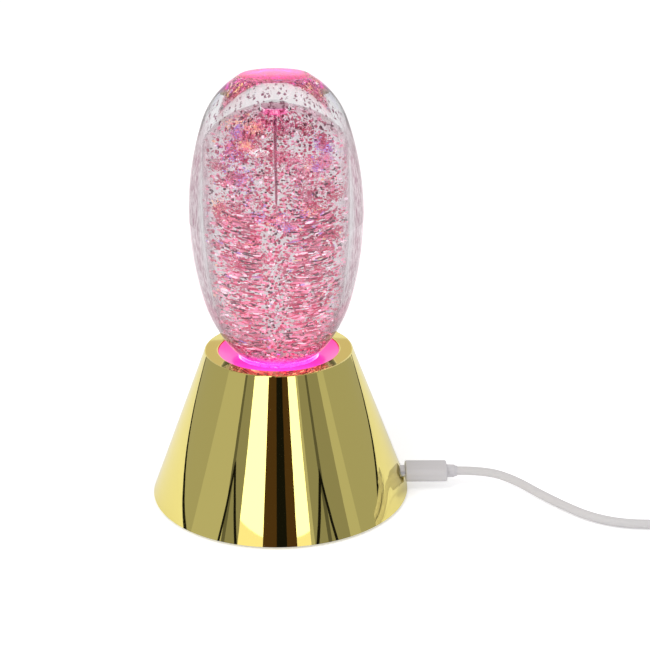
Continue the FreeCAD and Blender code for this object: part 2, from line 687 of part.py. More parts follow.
def make_stopper():
    seat = S["bore_radius"] - S["running_gap"]
    groove_radius = seat - S["seal_radius"] * 2
    groove_low = S["seal_z"] - S["seal_groove_high"] / 2
    groove_top = S["seal_z"] + S["seal_groove_high"] / 2
    revolved("vessel_stopper", [
        (0.0, S["stopper_foot_z"]), (S["stopper_flange_radius"], S["stopper_foot_z"]),
        (S["stopper_flange_radius"], S["neck_foot_z"]), (seat, S["neck_foot_z"]),
        (seat, groove_low), (groove_radius, groove_low), (groove_radius, groove_top),
        (seat, groove_top), (seat, S["stopper_top_z"]),
        (S["pin_radius"], S["stopper_top_z"]), (S["pin_radius"], S["pin_foot_z"]),
        (0.0, S["pin_foot_z"])])
    seal = doc.addObject("Part::Torus", "stopper_seal")
    bind(seal, "Radius1", groove_radius + S["seal_radius"])
    bind(seal, "Radius2", S["seal_radius"])
    bind(seal, "Placement.Base.z", S["seal_z"])
    keep(seal, "stopper_seal")
    keep(cylinder("pivot_pin", S["pin_radius"], S["pin_top_z"] - S["pin_foot_z"],
                  z=S["pin_foot_z"]), "pivot_pin")
    cap_z = S["impeller_top_z"] + 0.2
    revolved("pivot_cap", [
        (S["pin_radius"], cap_z), (S["pivot_cap_radius"], cap_z),
        (S["pivot_cap_radius"], cap_z + 0.7), (S["pin_radius"], S["pin_top_z"])])


# Stirrer in the vessel

def make_impeller():
    body = new_body("impeller")
    foot_z = S["impeller_foot_z"]
    plate_z = foot_z + S["impeller_plate"]
    bore = S["pin_radius"] + S["running_gap"]
    revolve(body, outline(new_sketch(body), [
        (bore, foot_z), (S["impeller_radius"] - 0.4, foot_z),
        (S["impeller_radius"], foot_z + 0.4), (S["impeller_radius"], plate_z),
        (S["hub_radius"], plate_z), (S["hub_radius"], S["impeller_top_z"]),
        (bore, S["impeller_top_z"])]))
    # each blade is an even band that curves from the hub to the rim
    half = S["blade_thick"] / 2
    root_x = S["hub_radius"] - 0.4
    tip_x = S["impeller_radius"] - 0.5
    tip_y = S["impeller_radius"] * 0.3
    sketch = outline(new_sketch(body, "XY_Plane", plate_z), [
        (root_x, -half), (tip_x, tip_y - half, S["blade_bend"] + half),
        (tip_x - half, tip_y + half), (root_x, half, -(S["blade_bend"] - half))])
    blade = pad(body, sketch, S["impeller_top_z"] - plate_z)
    repeat_around(body, [blade], BLADES)
    sketch = circle(new_sketch(body, "XY_Plane", foot_z), S["magnet_circle"], 0,
                    S["impeller_magnet_radius"])
    circle(sketch, -S["magnet_circle"], 0, S["impeller_magnet_radius"])
    pocket(body, sketch, S["impeller_magnet_thick"], along_normal=True)
    keep(body, "impeller")
    ring_of_discs("impeller_magnets", S["impeller_magnet_radius"], foot_z,
                  S["impeller_magnet_thick"])


def ring_of_discs(label, radius, foot_z, thick):
    """A pair of disc magnets on opposite sides of the lamp's axis."""
    body = new_body(label)
    sketch = circle(new_sketch(body, "XY_Plane", foot_z), S["magnet_circle"], 0, radius)
    circle(sketch, -S["magnet_circle"], 0, radius)
    pad(body, sketch, thick)
    keep(body, label)


# Motor and its magnet carrier

def make_motor():
    nose_z = S["motor_top_z"] + S["motor_nose_high"]
    shaft_hole = S["shaft_radius"] + S["running_gap"]
    can = new_body("motor_can")
    revolve(can, outline(new_sketch(can), [
        (shaft_hole, S["motor_foot_z"]), (S["motor_radius"], S["motor_foot_z"]),
        (S["motor_radius"], S["motor_top_z"] - 1), (S["motor_radius"] - 1, S["motor_top_z"], 1),
        (S["motor_nose_radius"], S["motor_top_z"]), (S["motor_nose_radius"], nose_z),
        (shaft_hole, nose_z)]))
    sketch = new_sketch(can, "XY_Plane", S["motor_top_z"])
    for side in (1, -1):
        circle(sketch, S["motor_screw_circle"] * side, 0, S["small_screw_radius"])
    pocket(can, sketch, 2.2)
    keep(can, "motor_can")

    cap_z = S["motor_foot_z"] - S["end_cap_thick"]
    revolved("motor_end_cap", [
        (0.0, cap_z - 1), (S["motor_nose_radius"], cap_z - 1),
        (S["motor_nose_radius"], cap_z), (S["end_cap_radius"] - 0.6, cap_z),
        (S["end_cap_radius"], cap_z + 0.6, 0.6), (S["end_cap_radius"], S["motor_foot_z"]),
        (0.0, S["motor_foot_z"])])
    terminals = new_body("motor_terminals")
    sketch = new_sketch(terminals, "XY_Plane", cap_z)
    for side in (1, -1):
        rectangle(sketch, 7, as_size(4) * side, 0.5, 2.4)
    pad(terminals, sketch, 3, downward=True)
    keep(terminals, "motor_terminals")

    shaft_foot_z = S["motor_foot_z"] + 0.7
    keep(cylinder("motor_shaft", S["shaft_radius"], S["carrier_top_z"] - shaft_foot_z,
                  z=shaft_foot_z), "motor_shaft")
    carrier = new_body("magnet_carrier")
    revolve(carrier, outline(new_sketch(carrier), [
        (S["shaft_radius"], S["carrier_foot_z"] - 1.2),
        (S["motor_nose_radius"], S["carrier_foot_z"] - 1.2),
        (S["motor_nose_radius"], S["carrier_foot_z"]),
        (S["carrier_radius"] - 0.5, S["carrier_foot_z"]),
        (S["carrier_radius"], S["carrier_foot_z"] + 0.5),
        (S["carrier_radius"], S["carrier_top_z"]), (S["shaft_radius"], S["carrier_top_z"])]))
    sketch = new_sketch(carrier, "XY_Plane", S["carrier_top_z"])
    for side in (1, -1):
        circle(sketch, S["magnet_circle"] * side, 0, S["drive_magnet_radius"])
    pocket(carrier, sketch, S["drive_magnet_thick"])
    keep(carrier, "magnet_carrier")
    ring_of_discs("drive_magnets", S["drive_magnet_radius"],
                  S["carrier_top_z"] - S["drive_magnet_thick"], S["drive_magnet_thick"])


def make_motor_bracket():
    body = new_body("motor_bracket")
    low_z = S["motor_top_z"]
    top_z = low_z + S["bracket_thick"]
    sketch = circle(new_sketch(body, "XY_Plane", low_z), 0, 0, S["bracket_radius"])
    circle(sketch, 0, 0, S["motor_nose_radius"] + S["running_gap"])
    for side in (1, -1):
        circle(sketch, S["motor_screw_circle"] * side, 0, S["small_hole_radius"])
    pad(body, sketch, S["bracket_thick"])
    post_place = around(S["bracket_post_circle"], BRACKET_SCREW_ANGLE)
    inner_y = S["bracket_radius"] - 2
    sketch = rectangle(new_sketch(body, "XY_Plane", low_z), 0,
                       (post_place[1] + inner_y) / 2, S["bracket_arm_wide"],
                       post_place[1] - inner_y)
    arm = pad(body, sketch, S["bracket_thick"])
    sketch = circle(new_sketch(body, "XY_Plane", low_z), *post_place,
                    S["bracket_post_radius"])
    post = pad(body, sketch, S["frame_z"] - low_z)
    # a web stiffens each arm against its post
    sketch = rectangle(new_sketch(body, "XY_Plane", top_z), 0,
                       (post_place[1] + inner_y) / 2, 1.6, post_place[1] - inner_y)
    web = pad(body, sketch, 2.5)
    sketch = circle(new_sketch(body, "XY_Plane", S["frame_z"]), *post_place,
                    S["screw_hole_radius"])
    hole = pocket(body, sketch, S["frame_z"] - low_z)
    repeat_around(body, [arm, post, web, hole], FRAME_SCREWS)
    keep(body, "motor_bracket")

    ring_of_screws("bracket_screws", FRAME_SCREWS, S["bracket_post_circle"],
                   BRACKET_SCREW_ANGLE,
                   screw_outline(S["screw_head_radius"], low_z - S["screw_head_thick"],
                                 S["screw_head_thick"], S["screw_radius"],
                                 S["bracket_screw_top_z"]))
    screws = new_body("motor_screws")
    sketch = outline(new_sketch(screws, aside=S["motor_screw_circle"]), [
        (0.0, low_z - 2), (S["small_screw_radius"], low_z - 2),
        (S["small_screw_radius"], top_z), (S["small_head_radius"], top_z),
        (S["small_head_radius"], top_z + 0.6), (S["small_head_radius"] - 0.4, top_z + 1),
        (0.0, top_z + 1)])
    repeat_around(screws, [revolve(screws, sketch)], 2)
    keep(screws, "motor_screws")


# Vessel frame, clip, lights and the ring they light

def make_vessel_frame():
    body = new_body("vessel_frame")
    low_z = S["frame_z"]
    top_z = low_z + S["frame_thick"]
    revolve(body, outline(new_sketch(body), [
        (S["frame_hole_radius"], low_z), (S["frame_radius"], low_z),
        (S["frame_radius"], top_z), (S["collar_radius"], top_z),
        (S["collar_radius"], S["collar_top_z"]),
        (S["frame_hole_radius"], S["collar_top_z"])]))
    light_place = around(S["light_post_circle"], FRAME_SCREW_ANGLE)
    sketch = circle(new_sketch(body, "XY_Plane", top_z), *light_place,
                    S["light_post_radius"])
    light_post = pad(body, sketch, S["light_board_z"] - top_z)
    bracket_place = around(S["bracket_post_circle"], BRACKET_SCREW_ANGLE)
    sketch = circle(new_sketch(body, "XY_Plane", top_z), *bracket_place,
                    S["bracket_post_radius"])
    bracket_post = pad(body, sketch, S["light_board_z"] - top_z - 0.4)
    sketch = circle(new_sketch(body, "XY_Plane", top_z),
                    *around(S["frame_screw_circle"], FRAME_SCREW_ANGLE),
                    S["screw_hole_radius"])
    frame_hole = pocket(body, sketch, S["frame_thick"])
    sketch = circle(new_sketch(body, "XY_Plane", low_z), *bracket_place,
                    S["screw_radius"])
    bracket_hole = pocket(body, sketch, 5.0, along_normal=True)
    sketch = circle(new_sketch(body, "XY_Plane", S["light_board_z"]), *light_place,
                    S["small_screw_radius"])
    light_hole = pocket(body, sketch, 4.0)
    repeat_around(body, [light_post, bracket_post, frame_hole, bracket_hole, light_hole],
                  FRAME_SCREWS)
    # six windows between the screws pass the wires and save plastic
    inner, outer = S["window_inner"], S["window_outer"]
    half = WINDOW_HALF_ANGLE
    sketch = outline(new_sketch(body, "XY_Plane", top_z), [
        around(outer, -half), (*around(outer, half), outer),
        around(inner, half), (*around(inner, -half), -inner)])
    window = pocket(body, sketch, S["frame_thick"])
    repeat_around(body, [window], FRAME_SCREWS * 2)
    keep(body, "vessel_frame")

    ring_of_screws("frame_screws", FRAME_SCREWS, S["frame_screw_circle"],
                   FRAME_SCREW_ANGLE,
                   screw_outline(S["screw_head_radius"] - 0.2,
                                 low_z - S["screw_head_thick"],
                                 S["screw_head_thick"], S["screw_radius"],
                                 S["frame_screw_top_z"]))
    clip = revolved("retaining_clip", [
        (S["groove_radius"] + 0.1, S["groove_z"] + 0.1),
        (S["clip_radius"], S["groove_z"] + 0.1),
        (S["clip_radius"], low_z - 0.1), (S["groove_radius"] + 0.1, low_z - 0.1)],
        CLIP_ANGLE)
    turn_about_axis(clip, 180 - CLIP_ANGLE / 2)


def make_lights():
    board = new_body("light_board")
    board_z = S["light_board_z"]
    top_z = board_z + S["light_board_thick"]
    sketch = circle(new_sketch(board, "XY_Plane", board_z), 0, 0, S["light_board_radius"])
    circle(sketch, 0, 0, S["light_board_hole"])
    for number in range(FRAME_SCREWS):
        angle = FRAME_SCREW_ANGLE + 360 / FRAME_SCREWS * number
        circle(sketch, *around(S["light_post_circle"], angle), S["small_hole_radius"])
    pad(board, sketch, S["light_board_thick"])
    keep(board, "light_board")

    lights = new_body("leds")
    sketch = rectangle(new_sketch(lights, "XY_Plane", top_z), S["light_circle"], 0,
                       S["light_size"], S["light_size"])
    base = pad(lights, sketch, S["light_high"] / 2)
    sketch = rectangle(new_sketch(lights, "XY_Plane", top_z + S["light_high"] / 2),
                       S["light_circle"], 0, S["light_size"], S["light_size"])
    circle(sketch, S["light_circle"], 0, S["light_window"])
    rim = pad(lights, sketch, S["light_high"] / 2)
    repeat_around(lights, [base, rim], LIGHTS)
    keep(lights, "leds")

    screws = new_body("light_screws")
    sketch = outline(new_sketch(screws, aside=S["light_post_circle"]), [
        (0.0, board_z - 3), (S["small_screw_radius"], board_z - 3),
        (S["small_screw_radius"], top_z), (S["small_head_radius"], top_z),
        (S["small_head_radius"], top_z + 0.6), (S["small_head_radius"] - 0.4, top_z + 1),
        (0.0, top_z + 1)])
    repeat_around(screws, [revolve(screws, sketch)], FRAME_SCREWS)
    turn_about_axis(screws, FRAME_SCREW_ANGLE)
    keep(screws, "light_screws")

    revolved("glow_ring", [
        (S["frame_hole_radius"] + 0.1, S["ring_foot_z"]),
        (S["ring_flange_radius"], S["ring_foot_z"]),
        (S["ring_flange_radius"], S["ring_flange_top_z"]),
        (S["ring_radius"], S["ring_flange_top_z"]), (S["ring_radius"], S["ring_rim_z"]),
        (S["ring_bore_radius"], S["ring_bore_z"], -S["ring_dish_radius"]),
        (S["frame_hole_radius"] + 0.1, S["ring_bore_z"] - 0.6)])


# Circuit board, its parts and the power socket

def make_circuit_board():
    board_top_z = S["socket_z"] - S["socket_high"] / 2
    board_z = board_top_z - S["board_thick"]
    middle_x = S["board_front_x"] - S["board_long"] / 2
    screw_x = S["board_front_x"] - S["board_long"] + 3
    board = new_body("circuit_board")
    sketch = rectangle(new_sketch(board, "XY_Plane", board_z), middle_x, 0,
                       S["board_long"], S["board_wide"])
    for side in (1, -1):
        circle(sketch, screw_x, S["board_screw_y"] * side, S["small_hole_radius"])
    pad(board, sketch, S["board_thick"])
    keep(board, "circuit_board")

    screws = new_body("board_screws")
    for side in (1, -1):
        x, y = screw_x, S["board_screw_y"] * side
        sketch = circle(new_sketch(screws, "XY_Plane", board_z - 1), x, y,
                        S["small_screw_radius"])
        pad(screws, sketch, S["board_thick"] + 1)
        sketch = circle(new_sketch(screws, "XY_Plane", board_top_z), x, y,
                        S["small_head_radius"])
        pad(screws, sketch, 1)
    keep(screws, "board_screws")

    parts = [
        box("driver_chip", 39, -4.5, board_top_z, 5, 4, 1.5),
        cylinder("capacitor", 2.5, 6, 38.5, 4.8, board_top_z),
        box("light_connector", 31, 4.5, board_top_z, 4, 6, 4.5),
        box("motor_connector", 31, -4.5, board_top_z, 4, 6, 4.5)]
    parts += [box(f"resistor_{number}", 35, as_size(2.2) * number - 2.2, board_top_z,
                  2, 1.2, 0.6) for number in range(3)]
    group = doc.addObject("Part::Compound", "board_parts")
    group.Links = parts
    keep(group, "board_parts")


def make_power_socket():
    back_x = S["socket_mouth_x"] - S["socket_deep"]
    wall = S["sheet_metal"]
    shell = new_body("power_socket")
    sketch = rounded_rectangle(new_sketch(shell, "YZ_Plane", back_x), 0, S["socket_z"],
                               S["socket_wide"], S["socket_high"], S["socket_high"] * 0.45)
    pad(shell, sketch, S["socket_deep"])
    sketch = rounded_rectangle(new_sketch(shell, "YZ_Plane", S["socket_mouth_x"]), 0,
                               S["socket_z"], S["socket_wide"] - wall * 2,
                               S["socket_high"] - wall * 2,
                               (S["socket_high"] - wall * 2) * 0.45)
    pocket(shell, sketch, S["socket_deep"] - wall)
    keep(shell, "power_socket")
    keep(box("socket_tongue", back_x + wall + 2.9, 0, S["socket_z"] - 0.35, 5.8, 6.6, 0.7),
         "socket_tongue")


# Cord, its two plugs and the lamp's inner wires

def make_plug():
    wall = S["sheet_metal"]
    front_x = S["plug_front_x"]
    back_x = front_x + S["plug_long"]
    shell = new_body("plug_shell")
    tip_x = front_x - S["plug_shell_reach"]
    sketch = rounded_rectangle(new_sketch(shell, "YZ_Plane", tip_x), 0, S["socket_z"],
                               S["plug_shell_wide"], S["plug_shell_high"],
                               S["plug_shell_high"] * 0.45)
    pad(shell, sketch, S["plug_shell_reach"])
    sketch = rounded_rectangle(new_sketch(shell, "YZ_Plane", tip_x), 0, S["socket_z"],
                               S["plug_shell_wide"] - wall * 2,
                               S["plug_shell_high"] - wall * 2,
                               (S["plug_shell_high"] - wall * 2) * 0.45)
    pocket(shell, sketch, S["plug_shell_reach"] - wall, along_normal=True)
    keep(shell, "plug_shell")

    grip = new_body("plug_body")
    sketch = rounded_rectangle(new_sketch(grip, "YZ_Plane", front_x), 0, S["socket_z"],
                               S["plug_wide"], S["plug_high"], S["plug_corner"])
    pad(grip, sketch, S["plug_long"])
    round_edges(grip, S["plug_edge"], lambda edge: edge.BoundBox.XLength < 0.01)
    keep(grip, "plug_body")

    relief = revolved("strain_relief", [
        (0.0, 0.0), (S["relief_radius"], 0.0), (S["relief_radius"] - 0.1, 3.1),
        (S["relief_radius"] - 0.5, 3.5, 0.4), (S["relief_radius"] - 0.55, S["relief_long"]),
        (0.0, S["relief_long"])])
    lay_down(relief, 0, back_x, 0, S["socket_z"])


def lay_down(thing, heading, x, y, z):
    """Lay a piece that was turned about Z on its side, pointing at a heading in degrees."""
    x, y, z = (as_size(value).value for value in (x, y, z))
    turned = FreeCAD.Rotation(FreeCAD.Vector(0, 0, 1), heading)
    lying = turned.multiply(FreeCAD.Rotation(FreeCAD.Vector(0, 1, 0), 90))
    thing.Placement = FreeCAD.Placement(FreeCAD.Vector(x, y, z), lying)


def corner_arc(before, corner, after, share=0.45):
    """The arc that rounds a corner of a route, and its radius."""
    back = before - corner
    ahead = after - corner
    turn = math.pi - back.getAngle(ahead)
    setback = share * min(back.Length, ahead.Length)
    radius = setback / math.tan(turn / 2)
    start = corner + FreeCAD.Vector(back).normalize() * setback
    end = corner + FreeCAD.Vector(ahead).normalize() * setback
    weight = math.cos(turn / 2)
    middle = (start + end + corner * (2 * weight)) * (1 / (2 + 2 * weight))
    return Part.Arc(start, middle, end).toShape(), start, end, radius


def tube_along(label, edges, diameter):
    """A solid tube of a diameter along a chain of edges, checked against its length."""
    path = Part.Wire(edges)
    first = edges[0]
    section = Part.Wire(Part.makeCircle(
        diameter / 2, first.valueAt(first.FirstParameter), first.tangentAt(first.FirstParameter)))
    solid = path.makePipeShell([section], True, False)
    share = solid.Volume / (math.pi * diameter ** 2 / 4 * path.Length)
    print(f"{label}: {path.Length:.1f} mm long, volume {share:.4f} of its section times its"
          " length")
    return solid


def route_tube(label, points, diameter):
    """A tube along straight runs joined by tangent arcs."""
    corners = [FreeCAD.Vector(*point) for point in points]
    edges = []
    radii = []
    at = corners[0]
    for before, corner, after in zip(corners, corners[1:], corners[2:]):
        arc, start, end, radius = corner_arc(before, corner, after)
        edges += [Part.LineSegment(at, start).toShape(), arc]
        radii.append(radius)
        at = end
    edges.append(Part.LineSegment(at, corners[-1]).toShape())
    print(f"{label}: radii " + " ".join(f"{radius:.1f}" for radius in radii))
    return tube_along(label, edges, diameter)


def coil_point(turned):
    """A point of the coil's middle line after an angle turned, in radians.

    The lower layer spirals in, and the upper one spirals out on top of it. The cord climbs
    in the half turn between them.
    """
    total = COIL_TURNS * 2 * math.pi
    beyond = turned - total / 2
    climb = math.pi / 2
    if abs(beyond) < climb:
        spread = beyond ** 2 / math.pi + math.pi / 4
        share = (beyond + climb) / (2 * climb)
        raised = share * share * (3 - 2 * share)
    else:
        spread = abs(beyond)
        raised = 1.0 if beyond > 0 else 0.0
    radius = S["coil_inner_radius"].value + S["coil_step"].value * spread / (2 * math.pi)
    angle = math.radians(COIL_START_ANGLE) + turned
    return FreeCAD.Vector(
        S["coil_x"].value + radius * math.cos(angle),
        S["coil_y"].value + radius * math.sin(angle),
        S["cord_diameter"].value / 2 + S["coil_layer"].value * raised)


def coil_heading(turned):
    step = 1e-4
    return (coil_point(turned + step) - coil_point(turned - step)).normalize()


def biarc(start, start_way, end, end_way):
    """Two arcs that join two points and keep both headings."""
    chord = end - start
    ways = start_way + end_way
    a = 2 * (1 - start_way.dot(end_way))
    b = 2 * chord.dot(ways)
    c = -chord.dot(chord)
    reach = (-b + math.sqrt(b * b - 4 * a * c)) / (2 * a)
    first, second = start + start_way * reach, end - end_way * reach
    join = (first + second) * 0.5
    arcs = []
    for one, bend, other in ((start, first, join), (join, second, end)):
        weight = (other - one).Length / 2 / reach
        middle = (one + other + bend * (2 * weight)) * (1 / (2 + 2 * weight))
        arcs.append(Part.Arc(one, middle, other).toShape())
    return arcs


def make_coil():
    """The put-away length of the cord, as one tube of two piled layers of turns."""
    diameter = S["cord_diameter"].value
    total = COIL_TURNS * 2 * math.pi
    steps = math.ceil(COIL_TURNS * 4)
    turns = [total * number / steps for number in range(steps + 1)]
    points = [coil_point(turned) for turned in turns]
    ways = [coil_heading(turned) for turned in turns]
    edges = [Part.LineSegment(points[0] - ways[0] * diameter, points[0]).toShape()]
    for number in range(steps):
        edges += biarc(points[number], ways[number], points[number + 1], ways[number + 1])
    edges.append(Part.LineSegment(points[-1], points[-1] + ways[-1] * diameter).toShape())
    samples = [point for edge in edges for point in edge.discretize(12)[:-1]]
    apart = 40
    gap = min((a - b).Length for number, a in enumerate(samples)
              for b in samples[number + apart:]) - diameter
    print(f"cord_coil: least gap to itself {gap:.2f} mm")
    coil = doc.addObject("Part::Feature", "cord_coil")
    coil.Shape = tube_along("cord_coil", edges, diameter)
    keep(coil, "cord_coil")
    return (points[0] - ways[0] * diameter, ways[0],
            points[-1] + ways[-1] * diameter, ways[-1])


def make_cord():
    radius = S["cord_diameter"].value / 2
    coil_start, start_way, coil_end, end_way = make_coil()
    exit_x = (S["plug_front_x"] + S["plug_long"] + S["relief_long"]).value
    socket_z = S["socket_z"].value
    route = [
        (exit_x, 0, socket_z), (89, 0, socket_z), (101, -3.8, 4.7), (111, -13.6, 2.6),
        (121.8, -25.2, radius), (130.2, -33.3, radius), (141, -38.2, radius),
        (154, -39.3, radius), tuple(coil_start - start_way * 17), tuple(coil_start)]
    cord = doc.addObject("Part::Feature", "power_cord")
    cord.Shape = route_tube("power_cord", route, S["cord_diameter"].value)
    keep(cord, "power_cord")

    plug_x, plug_y, plug_z = (S[f"far_plug_{axis}"].value for axis in "xyz")
    run = 6.5
    tail_route = [
        tuple(coil_end), tuple(coil_end + end_way * run),
        (plug_x, plug_y - run, plug_z), (plug_x, plug_y, plug_z)]
    tail = doc.addObject("Part::Feature", "cord_tail")
    tail.Shape = route_tube("cord_tail", tail_route, S["cord_diameter"].value)
    keep(tail, "cord_tail")
    for label, points in (("power_cord", route), ("cord_tail", tail_route)):
        print(f"{label}: route " + " ".join(
            "(" + ", ".join(f"{value:.2f}" for value in point) + ")" for point in points))


def make_far_plug():
    """The plug at the cord's far end, drawn along +X and laid along +Y beside the coil."""
    x, y, z = S["far_plug_x"], S["far_plug_y"], S["far_plug_z"]
    wall = S["sheet_metal"]
    relief = S["relief_radius"]
    rib = 0.35
    ribs = []
    for number in range(3):
        low = as_size(1.2 + 2.2 * number)
        ribs += [(relief - 0.1 * number, low), (relief - 0.1 * number - rib, low + 0.2),
                 (relief - 0.1 * number - rib, low + 1.0), (relief - 0.1 * number, low + 1.2)]
    sleeve = revolved("far_strain_relief", [(0.0, 0.0), (relief, 0.0)] + ribs + [
        (relief - 0.4, S["far_relief_long"]), (0.0, S["far_relief_long"])])
    lay_down(sleeve, -90, x, y + S["far_relief_long"], z)

    along = FreeCAD.Rotation(FreeCAD.Vector(0, 0, 1), 90)
    place = FreeCAD.Placement(FreeCAD.Vector(x.value, (y + S["far_relief_long"]).value, 0),
                              along)
    grip = new_body("far_plug_body")
    sketch = rounded_rectangle(new_sketch(grip, "YZ_Plane"), 0, z, S["far_plug_wide"],
                               S["far_plug_high"], S["plug_corner"])
    pad(grip, sketch, S["far_plug_long"])
    round_edges(grip, S["plug_edge"], lambda edge: edge.BoundBox.XLength < 0.01)
    grip.Placement = place
    keep(grip, "far_plug_body")

    shell = new_body("far_plug_shell")
    sketch = rectangle(new_sketch(shell, "YZ_Plane", S["far_plug_long"]), 0, z,
                       S["far_shell_wide"], S["far_shell_high"])
    rectangle(sketch, 0, z, S["far_shell_wide"] - wall * 2, S["far_shell_high"] - wall * 2)
    pad(shell, sketch, S["far_shell_long"])
    sketch = new_sketch(shell, "XY_Plane", z + S["far_shell_high"] / 2)
    for side in (1, -1):
        rectangle(sketch, S["far_plug_long"] + 6, as_size(3) * side, 2.2, 2)
    pocket(shell, sketch, wall * 2)
    shell.Placement = place
    keep(shell, "far_plug_shell")

    insert = new_body("far_plug_insert")
    sketch = rectangle(new_sketch(insert, "YZ_Plane", S["far_plug_long"]), 0,
                       z - (S["far_shell_high"] / 2 - wall - 1.0),
                       S["far_shell_wide"] - wall * 2 - 0.2, 1.8)
    pad(insert, sketch, S["far_shell_long"] - 1)
    insert.Placement = place
    keep(insert, "far_plug_insert")


def make_wires():
    """Two wires from the lights and two from the motor, each to its connector on the board."""
    connector_z = (S["socket_z"] - S["socket_high"] / 2).value + 4.5
    light_foot_z = S["light_board_z"].value
    terminal_z = (S["motor_foot_z"] - S["end_cap_thick"]).value - 3
    diameter = S["wire_diameter"].value
    lights, motor = [], []
    for side in (1, -1):
        lights.append([
            (24.0, 1.2 * side, light_foot_z), (24.0, 1.2 * side, 44.0),
            (27.0, 2.0 + 1.4 * side, 32.0), (31.0, 4.5 + 1.2 * side, 20.0),
            (31.0, 4.5 + 1.2 * side, connector_z)])
        motor.append([
            (7.0, 4.0 * side, terminal_z), (7.0, 4.0 * side, 8.0),
            (15.5, -1.5 + 3.0 * side, 6.4), (22.5, -4.0 + 1.6 * side, 18.5),
            (31.0, -4.5 + 1.2 * side, 18.5), (31.0, -4.5 + 1.2 * side, connector_z)])
    for label, routes in (("light_wires", lights), ("motor_wires", motor)):
        wires = doc.addObject("Part::Feature", label)
        wires.Shape = Part.makeCompound([route_tube(label, route, diameter)
                                         for route in routes])
        keep(wires, label)


def check_document():
    """Stop on any failed object or unsound shape."""
    doc.recompute()
    for thing in doc.Objects:
        if any(state in ("Invalid", "Error") for state in thing.State):
            raise RuntimeError(f"{thing.Name} ({thing.Label}) failed: {thing.State}")
    for node in NODES:
        if node.Shape.isNull() or not node.Shape.isValid() or not node.Shape.Solids:
            raise RuntimeError(f"{node.Label}: its shape isn't a sound solid")


def main():
    for make in (make_base_cone, make_bottom_cover, make_rubber_feet, make_switch,
                 make_vessel, make_glitter, make_stopper, make_impeller, make_motor,
                 make_motor_bracket, make_vessel_frame, make_lights, make_circuit_board,
                 make_power_socket, make_plug, make_cord, make_far_plug, make_wires):
        make()
    check_document()
    os.makedirs("parts", exist_ok=True)
    for node in NODES:
        node.Shape.exportStep(os.path.join("parts", f"{node.Label}.step"))
    print(f"{len(NODES)} sub-parts written")


main()
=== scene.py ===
# %% [markdown]
# # A glitter lamp
#
# The lamp is a clear, thick-walled vessel of liquid and glitter that stands in a mirror-gold cone.
# Lights under the vessel make a ring glow magenta, and a small motor keeps the glitter moving.
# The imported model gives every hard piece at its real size, so this script starts by loading it.
# What it adds is what shows: finishes, the flowing cord, the glitter, and the studio around it.
# Everything is in metres, and a size in the text is in millimetres, so MM turns one into the other.

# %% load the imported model
import math
import random

import bmesh
import bpy
from mathutils import Matrix, Vector


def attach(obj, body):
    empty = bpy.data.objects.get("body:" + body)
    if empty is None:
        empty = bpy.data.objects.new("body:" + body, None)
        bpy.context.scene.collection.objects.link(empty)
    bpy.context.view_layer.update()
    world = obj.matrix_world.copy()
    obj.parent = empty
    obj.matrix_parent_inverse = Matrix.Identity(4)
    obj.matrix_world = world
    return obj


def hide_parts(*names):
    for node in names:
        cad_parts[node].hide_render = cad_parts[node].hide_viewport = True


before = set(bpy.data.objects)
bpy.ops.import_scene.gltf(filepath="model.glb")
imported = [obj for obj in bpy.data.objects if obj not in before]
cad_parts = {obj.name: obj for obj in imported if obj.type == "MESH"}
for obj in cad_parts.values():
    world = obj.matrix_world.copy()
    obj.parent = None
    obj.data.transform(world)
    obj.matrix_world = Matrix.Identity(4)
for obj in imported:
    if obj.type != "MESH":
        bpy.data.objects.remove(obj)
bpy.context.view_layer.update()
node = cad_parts
MM = 0.001

# %% [markdown]
# ## Camera
#
# The camera's place was worked out from the ellipses of the cone and of the glowing ring: their
# flatness gives the angle, and how it changes with height gives the distance. It stands 0.56 m in
# front of the lamp and 0.29 m up, looks 20.7 degrees down, and leans a quarter of a degree. The
# long lens is given as a focal length for a sensor 36 mm wide.

# %% camera
CAMERA_PLACE = (19.49, -564.6, 288.7)
camera_data = bpy.data.cameras.new("camera")
camera_data.sensor_width = 36
camera_data.lens = 80.09
camera_data.clip_start = 0.05
camera = bpy.data.objects.new("camera", camera_data)
look_down = math.radians(90 - 20.727)
lean = math.radians(-0.236)
camera.matrix_world = (Matrix.Translation(Vector(CAMERA_PLACE) * MM)
                       @ Matrix.Rotation(look_down, 4, "X") @ Matrix.Rotation(lean, 4, "Z"))
bpy.context.scene.collection.objects.link(camera)
bpy.context.scene.camera = camera
print("camera at", [round(value, 3) for value in camera.matrix_world.translation])

# %% [markdown]
# ## Cord
#
# The lead is a round cord of one metre, 3.8 mm thick. It leaves the plug level, sinks to the
# floor in one soft bend, and runs off to the right in the two lazy curves of the photograph. What
# lies outside the picture is wound into a small coil of two layers. One NURBS curve holds all of
# it, because a curve of order 3 passes smoothly by its points, as a stiff cord does. The route's
# points are those of the solid model, and the coil's come from a spiral that winds in on the
# floor, climbs, and winds out again on top.

# %% the cord's route
CORD_THICK = 3.8
PLUG_BACK = (76.5, 0, 7.2)
to_the_coil = [
    PLUG_BACK, (89, 0, 7.2), (101, -3.8, 4.7), (111, -13.6, 2.6), (121.8, -25.2, 1.9),
    (130.2, -33.3, 1.9), (141, -38.2, 1.9), (154, -39.3, 1.9), (171.2, -38.5, 1.9)]
to_the_far_plug = [(219.6, 3.85, 6.2), (219, 10.4, 4.25), (219, 16.9, 4.25)]

COIL_X, COIL_Y = 192, -9.4
COIL_TURNS, COIL_POINTS = 6 + 96 / 360, 126
COIL_INNER, COIL_STEP, COIL_LAYER = 14.8, 4.4, 4.3


